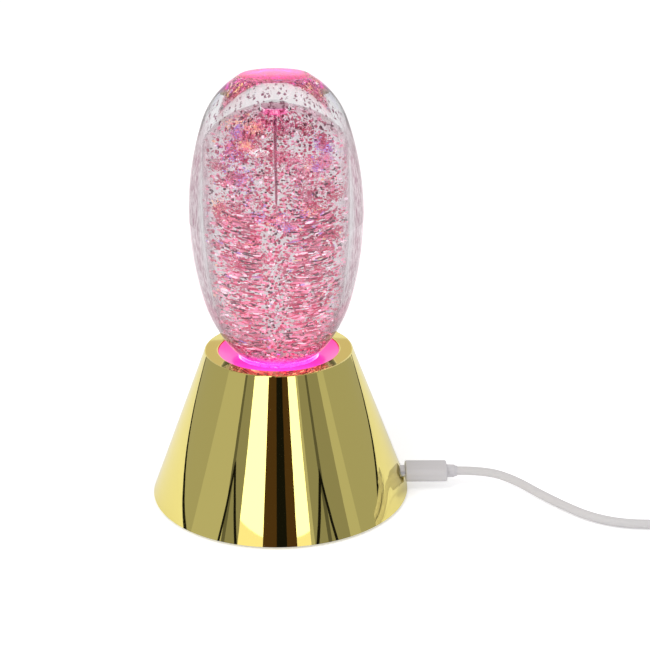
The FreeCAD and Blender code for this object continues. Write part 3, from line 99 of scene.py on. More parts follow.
def coil_point(turned):
    """A point of the coil after an angle turned, in radians: inward below, outward on top."""
    beyond = turned - COIL_TURNS * math.pi
    climb = math.pi / 2
    share = min(max((beyond + climb) / (2 * climb), 0), 1)
    spread = abs(beyond) if abs(beyond) > climb else beyond ** 2 / math.pi + math.pi / 4
    radius = COIL_INNER + COIL_STEP * spread / (2 * math.pi)
    angle = turned - math.pi / 2
    return (COIL_X + radius * math.cos(angle), COIL_Y + radius * math.sin(angle),
            CORD_THICK / 2 + COIL_LAYER * share * share * (3 - 2 * share))


whole_turn = 2 * math.pi * COIL_TURNS
coil_route = [coil_point(whole_turn * n / COIL_POINTS) for n in range(COIL_POINTS + 1)]
cord_points = to_the_coil + coil_route + to_the_far_plug
print(f"{len(cord_points)} points on the cord's route")

# %% the cord itself
cord_curve = bpy.data.curves.new("cord", "CURVE")
cord_curve.dimensions = "3D"
cord_curve.bevel_depth = 1.0
cord_curve.bevel_resolution = 5
cord_curve.resolution_u = 6
cord_curve.use_fill_caps = True
strand = cord_curve.splines.new("NURBS")
strand.points.add(len(cord_points) - 1)
for point, place in zip(strand.points, cord_points):
    point.co = (*(value * MM for value in place), 1)
    point.radius = CORD_THICK / 2 * MM
strand.order_u = 3
strand.use_endpoint_u = True
cord = bpy.data.objects.new("power_lead", cord_curve)
bpy.context.scene.collection.objects.link(cord)
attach(cord, "lamp")
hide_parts("power_cord", "cord_coil", "cord_tail")
print("cord made")

# %% [markdown]
# ## Finishes
#
# Most pieces are moulded plastic, rubber or metal. Each of these has a colour, a roughness that
# isn't quite even, and a fine grain. A noise pattern in the piece's own coordinates gives both,
# so it stays put when the piece moves. Small helpers add and link the shader nodes, and one
# makes such a finish from a few numbers.

# %% shader helpers
def add_node(tree, kind, **settings):
    """A shader node with its inputs, and its other settings, filled in."""
    made = tree.nodes.new(kind)
    for name, value in settings.items():
        label = name.replace("_", " ")
        if label in made.inputs:
            made.inputs[label].default_value = value
        else:
            setattr(made, name, value)
    return made


def join(tree, *links):
    """Link sockets, given as pairs: from one, to the other."""
    for start, end in links:
        tree.links.new(start, end)


def set_ramp(ramp_node, *stops):
    """Give a colour ramp its stops of place and colour."""
    elements = ramp_node.color_ramp.elements
    while len(elements) < len(stops):
        elements.new(0.5)
    for stop, (place, colour) in zip(elements, stops):
        stop.position, stop.color = place, (*colour, 1)


def blend(tree, first, second):
    """A colour mix of two given colours. None leaves a side open for a link."""
    mix = add_node(tree, "ShaderNodeMix", data_type="RGBA")
    for side, colour in (("A", first), ("B", second)):
        if colour:
            mix.inputs[side].default_value = (*colour, 1)
    return mix


print("shader helpers ready")

# %% a finish of colour, gloss and fine grain
def new_finish(name, colour, roughness, metallic=0.0, **settings):
    """A material with one Principled shader, and its node tree and shader."""
    finish = bpy.data.materials.new(name)
    finish.use_nodes = True
    shader = finish.node_tree.nodes["Principled BSDF"]
    shader.inputs["Base Color"].default_value = (*colour, 1)
    shader.inputs["Roughness"].default_value = roughness
    shader.inputs["Metallic"].default_value = metallic
    for setting, value in settings.items():
        shader.inputs[setting.replace("_", " ")].default_value = value
    finish.diffuse_color = (*colour, 1)
    return finish, finish.node_tree, shader


def grained(name, colour, roughness, metallic=0.0, grain=900, depth=0.06, **settings):
    """A finish whose gloss wanders a little and whose surface has a fine grain."""
    finish, tree, shader = new_finish(name, colour, roughness, metallic, **settings)
    place = add_node(tree, "ShaderNodeTexCoord")
    patches = add_node(tree, "ShaderNodeTexNoise", Scale=120, Detail=3)
    gloss = add_node(tree, "ShaderNodeMapRange", To_Min=roughness * 0.8,
                     To_Max=min(roughness * 1.25, 1))
    fine = add_node(tree, "ShaderNodeTexNoise", Scale=grain, Detail=2)
    bump = add_node(tree, "ShaderNodeBump", Strength=depth, Distance=0.0001)
    join(tree, (place.outputs["Object"], patches.inputs["Vector"]),
         (place.outputs["Object"], fine.inputs["Vector"]),
         (patches.outputs["Fac"], gloss.inputs["Value"]),
         (gloss.outputs["Result"], shader.inputs["Roughness"]),
         (fine.outputs["Fac"], bump.inputs["Height"]),
         (bump.outputs["Normal"], shader.inputs["Normal"]))
    return finish


def dress(finish, *names):
    """Give CAD nodes a finish in place of the plain one they came with."""
    for name in names:
        node[name].data.materials.clear()
        node[name].data.materials.append(finish)


print("finish helpers ready")

# %% plastics, rubber and metals
white_plug = grained("white_plug", (0.62, 0.60, 0.62), 0.42, grain=1500, depth=0.05)
white_cord = grained("white_cord", (0.66, 0.64, 0.64), 0.5, grain=1800, depth=0.08)
black_moulded = grained("black_moulded", (0.02, 0.02, 0.022), 0.5)
white_moulded = grained("white_moulded", (0.78, 0.78, 0.79), 0.45)
black_rubber = grained("black_rubber", (0.03, 0.03, 0.03), 0.75, grain=600, depth=0.15)
steel = grained("steel", (0.62, 0.62, 0.64), 0.28, metallic=1.0, depth=0.03)
brass = grained("brass", (0.75, 0.58, 0.26), 0.3, metallic=1.0, depth=0.03)
board_green = grained("board_green", (0.03, 0.20, 0.08), 0.4, grain=400)
wire_red = grained("wire_red", (0.5, 0.04, 0.04), 0.45)
lit_white = grained("lit_white", (0.9, 0.8, 0.88), 0.3, Emission_Color=(1, 0.3, 0.75, 1),
                    Emission_Strength=2.0)
# the frame and stopper under the vessel get a painted glow, standing in for the LEDs' light on them
lit_foot = grained("lit_foot", (0.85, 0.80, 0.83), 0.5, Emission_Color=(1, 0.80, 0.88, 1),
                   Emission_Strength=0.85)
cord.data.materials.append(white_cord)
dress(white_plug, "plug_body", "strain_relief", "far_plug_body", "far_strain_relief")
dress(black_moulded, "bottom_cover", "switch_body", "motor_end_cap", "motor_bracket",
      "board_parts", "socket_tongue")
dress(white_moulded, "switch_slider", "impeller", "magnet_carrier", "far_plug_insert")
dress(lit_foot, "vessel_frame", "vessel_stopper")
dress(black_rubber, "rubber_feet", "stopper_seal")
dress(steel, "cover_screws", "pivot_pin", "impeller_magnets", "motor_can", "motor_shaft",
      "drive_magnets", "bracket_screws", "motor_screws", "frame_screws", "retaining_clip",
      "light_screws", "board_screws", "power_socket", "plug_shell", "far_plug_shell")
dress(brass, "pivot_cap", "motor_terminals")
dress(board_green, "light_board", "circuit_board")
dress(wire_red, "light_wires", "motor_wires")
dress(lit_white, "leds")
print("plain finishes given out")

# %% [markdown]
# ## Gold plating
#
# The cone is plastic plated with a mirror-bright gold-coloured metal. A fully metallic shader
# with hardly any roughness does that: its base colour tints what it reflects. The olive and
# yellow stripes aren't in the metal at all. They are the studio, which is made further down.

# %% the cone's plating
gold, gold_tree, gold_shader = new_finish("gold_plating", (0.93, 0.80, 0.25), 0.025, metallic=1.0)
gold_place = add_node(gold_tree, "ShaderNodeTexCoord")
gold_waves = add_node(gold_tree, "ShaderNodeTexNoise", Scale=45, Detail=1)
gold_bump = add_node(gold_tree, "ShaderNodeBump", Strength=0.02, Distance=0.0004)
join(gold_tree, (gold_place.outputs["Object"], gold_waves.inputs["Vector"]),
     (gold_waves.outputs["Fac"], gold_bump.inputs["Height"]),
     (gold_bump.outputs["Normal"], gold_shader.inputs["Normal"]))
dress(gold, "base_cone")
print("cone plated")

# %% [markdown]
# ## Glowing ring
#
# The ring is pink translucent plastic over six lights. Its colour is that of the light inside it,
# so most of what shows is emission, and a clear coat gives the white glints of the studio on it.
# In front it leans to violet. The gold turns its reflection red, more than a plain tint would, so
# mirrors see a redder glow. A ray through clear plastic counts as glossy too: that is taken off.

# %% the ring's glow
FRONT_FROM, FRONT_FULL = -12 * MM, -21 * MM
glow, glow_tree, glow_shader = new_finish(
    "pink_glow", (0.5, 0.015, 0.22), 0.3, Coat_Weight=0.6, Coat_Roughness=0.05,
    Emission_Strength=0.8)
glow_place = add_node(glow_tree, "ShaderNodeTexCoord")
glow_across = add_node(glow_tree, "ShaderNodeSeparateXYZ")
glow_front = add_node(glow_tree, "ShaderNodeMapRange", From_Min=FRONT_FROM, From_Max=FRONT_FULL)
own_colour = blend(glow_tree, (0.98, 0.03, 0.46), (1.00, 0.07, 0.80))
glow_path = add_node(glow_tree, "ShaderNodeLightPath")
in_gold = add_node(glow_tree, "ShaderNodeMath", operation="SUBTRACT", use_clamp=True)
seen_colour = blend(glow_tree, None, (0.60, 0.03, 0.02))
join(glow_tree, (glow_place.outputs["Object"], glow_across.inputs["Vector"]),
     (glow_across.outputs["Y"], glow_front.inputs["Value"]),
     (glow_front.outputs["Result"], own_colour.inputs["Factor"]),
     (own_colour.outputs["Result"], seen_colour.inputs["A"]),
     (glow_path.outputs["Is Glossy Ray"], in_gold.inputs[0]),
     (glow_path.outputs["Is Transmission Ray"], in_gold.inputs[1]),
     (in_gold.outputs[0], seen_colour.inputs["Factor"]),
     (seen_colour.outputs["Result"], glow_shader.inputs["Emission Color"]))
dress(glow, "glow_ring")
print("ring lit")

# %% [markdown]
# ## Clear plastic
#
# The vessel is clear plastic, thick enough to bend what is seen through it: its wall makes the
# liquid look half as wide again. Four marks of painted light are added to the plain clear shader.
# Where the wall is seen edge-on, fine upright streaks are a painted reflection of the glitter. In
# the crown, dark specks are a painted reflection of the glitter below. The foot has a painted
# pink glow of the ring's light, and the very edge a painted pale highlight.
# Each has an amount between 0 and 1, made from the angle of view or from the height.

# %% the clear wall, with painted streaks of reflected glitter where it is seen edge-on
WALL_INDEX, LIQUID_INDEX = 1.43, 1.46
WALL_TINT = (0.985, 0.975, 0.985)
clear_plastic, wall_tree, wall_shader = new_finish(
    "clear_plastic", WALL_TINT, 0.0, Transmission_Weight=1.0, IOR=WALL_INDEX)
wall_place = add_node(wall_tree, "ShaderNodeTexCoord")
wall_height = add_node(wall_tree, "ShaderNodeSeparateXYZ")
edge_on = add_node(wall_tree, "ShaderNodeLayerWeight", Blend=0.5)
streak_angle = add_node(wall_tree, "ShaderNodeMapRange", From_Min=0.44, From_Max=0.6)
streak_height = add_node(wall_tree, "ShaderNodeMapRange", From_Min=168 * MM, From_Max=150 * MM)
streak_share = add_node(wall_tree, "ShaderNodeMath", operation="MULTIPLY")
drawn_up = add_node(wall_tree, "ShaderNodeMapping")
drawn_up.inputs["Scale"].default_value = (1, 1, 0.2)
streak_noise = add_node(wall_tree, "ShaderNodeTexNoise", Scale=1300, Detail=2)
streak_ramp = add_node(wall_tree, "ShaderNodeValToRGB")
set_ramp(streak_ramp, (0.42, (0.40, 0.14, 0.21)), (0.62, (0.93, 0.70, 0.76)))
painted_glitter_streaks = blend(wall_tree, WALL_TINT, None)
join(wall_tree, (wall_place.outputs["Object"], wall_height.inputs["Vector"]),
     (edge_on.outputs["Facing"], streak_angle.inputs["Value"]),
     (wall_height.outputs["Z"], streak_height.inputs["Value"]),
     (streak_angle.outputs["Result"], streak_share.inputs[0]),
     (streak_height.outputs["Result"], streak_share.inputs[1]),
     (wall_place.outputs["Object"], drawn_up.inputs["Vector"]),
     (drawn_up.outputs["Vector"], streak_noise.inputs["Vector"]),
     (streak_noise.outputs["Fac"], streak_ramp.inputs["Fac"]),
     (streak_share.outputs[0], painted_glitter_streaks.inputs["Factor"]),
     (streak_ramp.outputs["Color"], painted_glitter_streaks.inputs["B"]))
print("clear wall with streaks")

# %% dark specks in its crown, a painted reflection of the glitter below
speck_shape = add_node(wall_tree, "ShaderNodeMapping")
speck_shape.inputs["Scale"].default_value = (1, 1, 0.5)
speck_noise = add_node(wall_tree, "ShaderNodeTexNoise", Scale=1500)
# the noise pushes the cells about, so that the specks aren't round
speck_push = add_node(wall_tree, "ShaderNodeVectorMath", operation="MULTIPLY_ADD")
speck_push.inputs[1].default_value = (1.6 * MM, 1.6 * MM, 3.2 * MM)
speck_cells = add_node(wall_tree, "ShaderNodeTexVoronoi", Scale=640)
speck_dots = add_node(wall_tree, "ShaderNodeMapRange", From_Min=0.40, From_Max=0.31)
some_cells = add_node(wall_tree, "ShaderNodeMath", operation="GREATER_THAN")
some_cells.inputs[1].default_value = 0.40
speck_height = add_node(wall_tree, "ShaderNodeMapRange", From_Min=156 * MM, From_Max=163 * MM)
speck_share = add_node(wall_tree, "ShaderNodeMath", operation="MULTIPLY")
speck_amount = add_node(wall_tree, "ShaderNodeMath", operation="MULTIPLY")
painted_dark_specks = blend(wall_tree, None, (0.12, 0.015, 0.04))
join(wall_tree, (wall_place.outputs["Object"], speck_shape.inputs["Vector"]),
     (wall_place.outputs["Object"], speck_noise.inputs["Vector"]),
     (speck_noise.outputs["Color"], speck_push.inputs[0]),
     (speck_shape.outputs["Vector"], speck_push.inputs[2]),
     (speck_push.outputs["Vector"], speck_cells.inputs["Vector"]),
     (speck_cells.outputs["Distance"], speck_dots.inputs["Value"]),
     (speck_cells.outputs["Color"], some_cells.inputs[0]),
     (wall_height.outputs["Z"], speck_height.inputs["Value"]),
     (speck_dots.outputs["Result"], speck_share.inputs[0]),
     (some_cells.outputs[0], speck_share.inputs[1]),
     (speck_share.outputs[0], speck_amount.inputs[0]),
     (speck_height.outputs["Result"], speck_amount.inputs[1]),
     (speck_amount.outputs[0], painted_dark_specks.inputs["Factor"]),
     (painted_glitter_streaks.outputs["Result"], painted_dark_specks.inputs["A"]))
print("crown specked")

# %% a painted pink glow in its foot, and a painted pale highlight on its outline
foot_height = add_node(wall_tree, "ShaderNodeMapRange", From_Min=70 * MM, From_Max=63.5 * MM,
                       interpolation_type="SMOOTHSTEP")
painted_foot_glow = blend(wall_tree, None, (0.985, 0.30, 0.70))
foot_light = blend(wall_tree, (0, 0, 0), (0.55, 0.03, 0.36))
rim_angle = add_node(wall_tree, "ShaderNodeMapRange", From_Min=0.80, From_Max=0.97)
rim_side = add_node(wall_tree, "ShaderNodeNewGeometry")
rim_front = add_node(wall_tree, "ShaderNodeMath", operation="SUBTRACT", use_clamp=True)
rim_light = blend(wall_tree, None, (0.42, 0.34, 0.36))
wall_shader.inputs["Emission Strength"].default_value = 1.0
join(wall_tree, (wall_height.outputs["Z"], foot_height.inputs["Value"]),
     (foot_height.outputs["Result"], painted_foot_glow.inputs["Factor"]),
     (painted_dark_specks.outputs["Result"], painted_foot_glow.inputs["A"]),
     (painted_foot_glow.outputs["Result"], wall_shader.inputs["Base Color"]),
     (foot_height.outputs["Result"], foot_light.inputs["Factor"]),
     (edge_on.outputs["Facing"], rim_angle.inputs["Value"]),
     (rim_angle.outputs["Result"], rim_front.inputs[0]),
     (rim_side.outputs["Backfacing"], rim_front.inputs[1]),
     (rim_front.outputs[0], rim_light.inputs["Factor"]),
     (foot_light.outputs["Result"], rim_light.inputs["A"]),
     (rim_light.outputs["Result"], wall_shader.inputs["Emission Color"]))
print("foot and outline lit")

# %% [markdown]
# The flat top has a painted pink glow, for light that runs up inside the wall and comes out
# there, most in its middle. Nearer the front edge its painted colour follows with a pale highlight
# line, a thin dark red line, and then clear plastic. One ramp over the distance from the axis and
# two over the distance from the front edge make them.

# %% the flat top, with its glow and edge lines painted in
CROWN_RADIUS = 13.8 * MM
lit_top, top_tree, top_shader = new_finish(
    "lit_top", (0.985, 0.62, 0.82), 0.0, Transmission_Weight=1.0, IOR=WALL_INDEX)
top_shader.inputs["Emission Strength"].default_value = 1.0
top_place = add_node(top_tree, "ShaderNodeTexCoord")
top_flat = add_node(top_tree, "ShaderNodeVectorMath", operation="MULTIPLY")
top_flat.inputs[1].default_value = (1, 1, 0)
top_out = add_node(top_tree, "ShaderNodeVectorMath", operation="LENGTH")
top_share = add_node(top_tree, "ShaderNodeMath", operation="DIVIDE")
top_share.inputs[1].default_value = CROWN_RADIUS
middle_glow = add_node(top_tree, "ShaderNodeValToRGB")
set_ramp(middle_glow, (0.35, (0.22, 0.0, 0.12)), (0.95, (0.03, 0.0, 0.0)))
top_across = add_node(top_tree, "ShaderNodeVectorMath", operation="DOT_PRODUCT")
top_across.inputs[1].default_value = (0.10, 1, 0)
top_depth = add_node(top_tree, "ShaderNodeMapRange", From_Min=-CROWN_RADIUS, From_Max=0.0)
depth_glow = add_node(top_tree, "ShaderNodeValToRGB")
set_ramp(depth_glow, (0.0, (0, 0, 0)), (0.24, (0, 0, 0)), (0.36, (0.6, 0.25, 0.3)),
         (0.42, (1, 1, 1)))
painted_top_lines = add_node(top_tree, "ShaderNodeValToRGB")
set_ramp(painted_top_lines, (0.12, (0.97, 0.95, 0.95)), (0.18, (0.25, 0.02, 0.04)),
         (0.25, (0.97, 0.9, 0.9)), (0.45, (0.78, 0.01, 0.36)))
top_light = add_node(top_tree, "ShaderNodeVectorMath", operation="MULTIPLY")
join(top_tree, (top_place.outputs["Object"], top_flat.inputs[0]),
     (top_flat.outputs["Vector"], top_out.inputs[0]),
     (top_out.outputs["Value"], top_share.inputs[0]),
     (top_share.outputs[0], middle_glow.inputs["Fac"]),
     (top_place.outputs["Object"], top_across.inputs[0]),
     (top_across.outputs["Value"], top_depth.inputs["Value"]),
     (top_depth.outputs["Result"], depth_glow.inputs["Fac"]),
     (top_depth.outputs["Result"], painted_top_lines.inputs["Fac"]),
     (middle_glow.outputs["Color"], top_light.inputs[0]),
     (depth_glow.outputs["Color"], top_light.inputs[1]),
     (top_light.outputs["Vector"], top_shader.inputs["Emission Color"]),
     (painted_top_lines.outputs["Color"], top_shader.inputs["Base Color"]))
print("flat top lit")

# %% the pocket's near edge, the liquid and its thread
# the pocket's near edge has a painted magenta glow, a reflection of the ring's light in it
lit_edge, _, _ = new_finish("lit_edge", (0.95, 0.5, 0.75), 0.0, Transmission_Weight=1.0,
                            IOR=WALL_INDEX, Emission_Color=(0.75, 0.03, 0.30, 1),
                            Emission_Strength=0.45)
clear_liquid, _, _ = new_finish("liquid", (0.99, 0.945, 0.96), 0.0,
                                Transmission_Weight=1.0, IOR=LIQUID_INDEX)
# the thread of air is dark red, painted shade
dim_thread, _, _ = new_finish("dim_thread", (0.40, 0.09, 0.18), 0.0,
                              Transmission_Weight=1.0, IOR=LIQUID_INDEX)
print("liquid finishes ready")

# %% [markdown]
# ## Vessel and liquid
#
# Both are turned from outlines, and these follow the solid model: an outer egg cut flat on top,
# and a domed cavity with a small pocket of air at its highest point.
# The liquid touches the wall. Two surfaces that only just touch would leave specks, so the
# liquid's runs a hair inside the wall, and light that crosses both bends by the same total.
# The stirrer below draws a thread of air down from the pocket, as thin as a needle.

# %% a piece with its finishes, on its body
def finished_piece(work, name, body, finishes, slot_name, *stands_for, smooth=True):
    """Make the bmesh an object that rides on a body and stands for CAD nodes."""
    mesh = bpy.data.meshes.new(name)
    work.to_mesh(mesh)
    work.free()
    for face in mesh.polygons:
        face.use_smooth = smooth
    for finish in finishes:
        mesh.materials.append(finish)
    piece = bpy.data.objects.new(name, mesh)
    bpy.context.scene.collection.objects.link(piece)
    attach(piece, body)
    if stands_for:
        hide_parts(*stands_for)
    print(f"{name}: {len(mesh.polygons)} faces")
    return piece


print("piece helper ready")

# %% outlines, and pieces turned from them
def curved(outline, steps=24):
    """The points of an outline. A corner (radius, height, bend) ends an arc of that bend."""
    points = [outline[0][:2]]
    for corner in outline[1:]:
        if len(corner) == 2:
            points.append(corner)
            continue
        (r0, z0), (r1, z1, bend) = points[-1], corner
        half = math.hypot(r1 - r0, z1 - z0) / 2
        rise = math.sqrt(bend ** 2 - half ** 2)
        centre_r = (r0 + r1) / 2 - rise * (z1 - z0) / (2 * half)
        centre_z = (z0 + z1) / 2 + rise * (r1 - r0) / (2 * half)
        first = math.atan2(z0 - centre_z, r0 - centre_r)
        last = math.atan2(z1 - centre_z, r1 - centre_r)
        for n in range(1, steps + 1):
            angle = first + (last - first) * n / steps
            points.append((centre_r + bend * math.cos(angle), centre_z + bend * math.sin(angle)))
    return points


def turned_piece(name, points, body, finishes, slot_name, *stands_for, segments=192):
    """A piece turned from points of (radius, height) in millimetres."""
    work = bmesh.new()
    corners = [work.verts.new((radius * MM, 0, height * MM)) for radius, height in points]
    edges = [work.edges.new(pair) for pair in zip(corners, corners[1:])]
    bmesh.ops.spin(work, geom=corners + edges, cent=(0, 0, 0), axis=(0, 0, 1),
                   angle=2 * math.pi, steps=segments, use_merge=True)
    bmesh.ops.remove_doubles(work, verts=work.verts, dist=1e-6)
    bmesh.ops.recalc_face_normals(work, faces=work.faces)
    return finished_piece(work, name, body, finishes, slot_name, *stands_for)


def face_place(face):
    """How far a face's middle is from the axis, and how high it is, in millimetres."""
    return math.hypot(face.center.x, face.center.y) / MM, face.center.z / MM


print("turning ready")

# %% the vessel
BORE, TOP, POCKET = 11.5, 180.0, 4.3
outside = curved([
    (BORE, 42.0), (16.5, 42.0), (16.5, 44.6), (15.1, 44.6), (15.1, 46.4), (16.5, 46.4),
    (16.5, 63.5), (30.63, 87.3, 53.4), (35.5, 122.7, 131.0), (29.06, 161.8, 121.9),
    (13.78, TOP, 32.7), (0.0, TOP)])
cavity = curved([
    (BORE, 60.0), (20.7, 132.0, 286.3), (20.7, 146.64), (16.46, 156.47, 13.5),
    (POCKET, 162.61, 24.0)])
pocket = [(POCKET, 163.8), (4.18, 164.08), (3.9, 164.2), (0.0, 164.2)]
vessel = turned_piece("vessel", outside + list(reversed([(BORE, 42.0)] + cavity + pocket)),
                      "lamp", [clear_plastic, lit_top, lit_edge], "clear_wall", "vessel_shell")
for face in vessel.data.polygons:
    out, high = face_place(face)
    if high > TOP - 0.01:
        face.material_index = 1
    elif (POCKET - 0.1 < out < POCKET + 0.6 and 161 < high < 164
          and face.center.y / MM < -0.45 * out):
        face.material_index = 2

# %% the liquid and its thread of air
OVERLAP = 0.04
THREAD_TOP, THREAD_FOOT = 0.8, 124.0
air_thread = [(4.1, 162.4), (3.2, 162.1), (2.0, 161.9), (1.0, 161.6), (0.75, 160.6),
              (0.6, 158.0), (0.55, 150.0), (0.5, 140.0), (0.35, 131.0), (0.0, THREAD_FOOT)]
liquid_points = ([(0.0, 52.7), (BORE + OVERLAP, 52.7)]
                 + [(radius + OVERLAP, height + OVERLAP) for radius, height in cavity]
                 + air_thread)
liquid = turned_piece("liquid", liquid_points, "swirl", [clear_liquid, dim_thread], "liquid",
                      "liquid_fill")
for face in liquid.data.polygons:
    out, high = face_place(face)
    face.material_index = int(out < THREAD_TOP and high > THREAD_FOOT)

# %% [markdown]
# ## Glitter
#
# The glitter is thousands of six-sided flakes of metallised film, in pinks and a few other
# colours. Each is one hexagon, turned its own way. A seeded random generator places them, so the
# lamp is the same each time. Many are spread through the liquid. In the upper half most gather
# into clouds of fine dust, and in the lower half the whirl draws them out into level streaks.

# %% flake finishes, with a painted glow
def flake_finish(name, colour, glow_low, glow_high):
    """Metallic film with a painted glow in its own colour, for the pink light from below, stronger
    near the lamp's base.
    """
    finish, tree, shader = new_finish(name, colour, 0.3, metallic=0.55)
    shader.inputs["Emission Color"].default_value = (*colour, 1)
    place = add_node(tree, "ShaderNodeTexCoord")
    height = add_node(tree, "ShaderNodeSeparateXYZ")
    fade = add_node(tree, "ShaderNodeMapRange", From_Min=55 * MM, From_Max=150 * MM,
                    To_Min=glow_low, To_Max=glow_high)
    join(tree, (place.outputs["Object"], height.inputs["Vector"]),
         (height.outputs["Z"], fade.inputs["Value"]),
         (fade.outputs["Result"], shader.inputs["Emission Strength"]))
    return finish


flake_colours = [
    flake_finish("flake_crimson", (0.55, 0.06, 0.15), 0.7, 0.35),
    flake_finish("flake_rose", (0.62, 0.22, 0.32), 0.45, 0.25),
    flake_finish("flake_pink", (0.95, 0.34, 0.52), 0.75, 0.4),
    # these near-black flakes are painted shade, for flakes that catch no light
    flake_finish("flake_dark_painted_shade", (0.13, 0.04, 0.07), 0.5, 0.3),
    # these pale flakes, with the strongest glow, are painted sparkle
    flake_finish("flake_pale_painted_sparkle", (0.95, 0.80, 0.90), 0.9, 0.8),
    flake_finish("flake_violet", (0.45, 0.30, 0.78), 0.6, 0.5),
    flake_finish("flake_peach", (0.98, 0.66, 0.42), 0.6, 0.5)]
# how often each colour comes up, in that order
MIXED = [0.25, 0.27, 0.22, 0.18, 0.06, 0.01, 0.01]
CRIMSON = [0.80, 0.12, 0.06, 0.02, 0.00, 0.00, 0.00]
PINK = [0.10, 0.10, 0.75, 0.00, 0.03, 0.02, 0.00]
ROSE = [0.20, 0.65, 0.10, 0.02, 0.00, 0.03, 0.00]
VIOLET = [0.08, 0.12, 0.15, 0.00, 0.00, 0.65, 0.00]
PEACH = [0.05, 0.10, 0.15, 0.00, 0.05, 0.00, 0.65]
print(f"{len(flake_colours)} flake finishes")

# %% where a flake may be
chance = random.Random(7)
LOW, HIGH = 54.0, 161.5
WALL_CLEAR = 0.8


def reach(height):
    """How far from the axis a flake may be at a height, in millimetres."""
    outer = [radius for radius, level in cavity if level >= height] or [0]
    return outer[0] - WALL_CLEAR


def share_kept(height):
    """How many spread flakes stay: few near the foot, and fewer where most are in clouds."""
    return min(1, 0.12 + (height - LOW) / 42, 1.6 - (height - 95) / 60)


def hides_thread(x, y, height):
    """Whether a place is in front of the thread of air."""
    return height > THREAD_FOOT + 1 and y < 0 and abs(x) < 0.7


def around(out, angle, height):
    """A place by its distance from the axis, its angle and its height."""
    return out * math.cos(angle), out * math.sin(angle), height


def any_turn():
    """A turn of any size about any axis."""
    axis = Vector([chance.gauss(0, 1) for _ in range(3)]).normalized()
    return Matrix.Rotation(chance.uniform(0, math.tau), 4, axis)


print(f"flakes from {LOW} to {HIGH} mm")

# %% three ways to scatter flakes
FRONT = -math.pi / 2
FLAKE_SIZE, STREAK_SIZE, DUST_SIZE = (0.38, 0.62), (0.28, 0.48), (0.14, 0.24)
STREAK_HEIGHT, STREAK_STRETCH = (72, 128), (3, 6.5)
CLOUD_HEIGHT, CLOUD_SIZE = (106, 157), (0.9, 1.9)


def spread_flakes(count):
    """Flakes anywhere in the liquid: place, size, turn, colour mix and stretch of each."""
    for _ in range(count):
        height = chance.uniform(LOW, HIGH)
        out = reach(height) * math.sqrt(chance.random())
        place = around(out, chance.uniform(0, math.tau), height)
        if hides_thread(*place) or chance.random() > share_kept(height):
            continue
        yield place, chance.uniform(*FLAKE_SIZE), any_turn(), MIXED, 1.0


def streak_flakes(count):
    """Flakes drawn out along their way round, in the lower half, clear of the middle column."""
    for _ in range(count):
        height = chance.uniform(*STREAK_HEIGHT)
        out = reach(height) * chance.uniform(0.6, 1)
        angle = FRONT + chance.choice([-1, 1]) * chance.uniform(0.35, 1.7)
        turn = (Matrix.Rotation(angle - FRONT, 4, "Z")
                @ Matrix.Rotation(chance.gauss(0, 0.12), 4, "Y")
                @ Matrix.Rotation(chance.uniform(0, math.tau), 4, "X"))
        yield (around(out, angle, height), chance.uniform(*STREAK_SIZE), turn, MIXED,
               chance.uniform(*STREAK_STRETCH))


def cloud_flakes(clouds, each):
    """Fine dust gathered round the middle of each cloud: its place, its size and its colours."""
    for middle, size, mix in clouds:
        wide = Vector([size * chance.uniform(0.6, 1.4) for _ in range(3)])
        for _ in range(each):
            place = Vector(middle) + Vector([chance.gauss(0, one) for one in wide])
            if math.hypot(place.x, place.y) < reach(place.z):
                yield place, chance.uniform(*DUST_SIZE), any_turn(), mix, 1.0


def loose_clouds(count):
    """Clouds at no special place in the upper half."""
    for _ in range(count):
        height = chance.uniform(*CLOUD_HEIGHT)
        out = reach(height) * math.sqrt(chance.uniform(0.1, 1))
        yield (around(out, chance.uniform(0, math.tau), height), chance.uniform(*CLOUD_SIZE),
               chance.choice([CRIMSON, CRIMSON, PINK, ROSE, ROSE, VIOLET, PEACH]))


print("scatter helpers ready")

# %% the clouds that show most
front_clouds = [
    ((-10.5, -4, 154), 2.6, ROSE), ((-11.5, -4, 158), 1.5, VIOLET), ((-6.2, -4, 158), 1.2, PEACH),
    ((-6.0, -4, 155), 2.2, CRIMSON), ((-8.4, -5, 152), 1.4, PEACH),
    ((-13.0, -3, 148), 1.7, VIOLET), ((-12.0, -2, 140), 1.7, CRIMSON),
    ((-10.0, -1, 138), 2.0, VIOLET), ((9.3, -3, 157), 1.1, CRIMSON),
    ((14.5, -4, 153), 1.3, CRIMSON), ((15.5, -3, 150.5), 1.2, VIOLET), ((15.5, -5, 146), 1.6, PINK),
    ((8.2, -4, 140.5), 2.2, ROSE), ((12.0, -1, 143), 1.6, VIOLET),
    ((10.2, -4, 129.5), 1.4, CRIMSON),
    ((-3.5, -2, 159), 1.3, PINK), ((2.5, -2, 157), 1.5, ROSE), ((-17.0, -3, 144), 1.5, CRIMSON)]
print(f"{len(front_clouds)} clouds placed by hand")

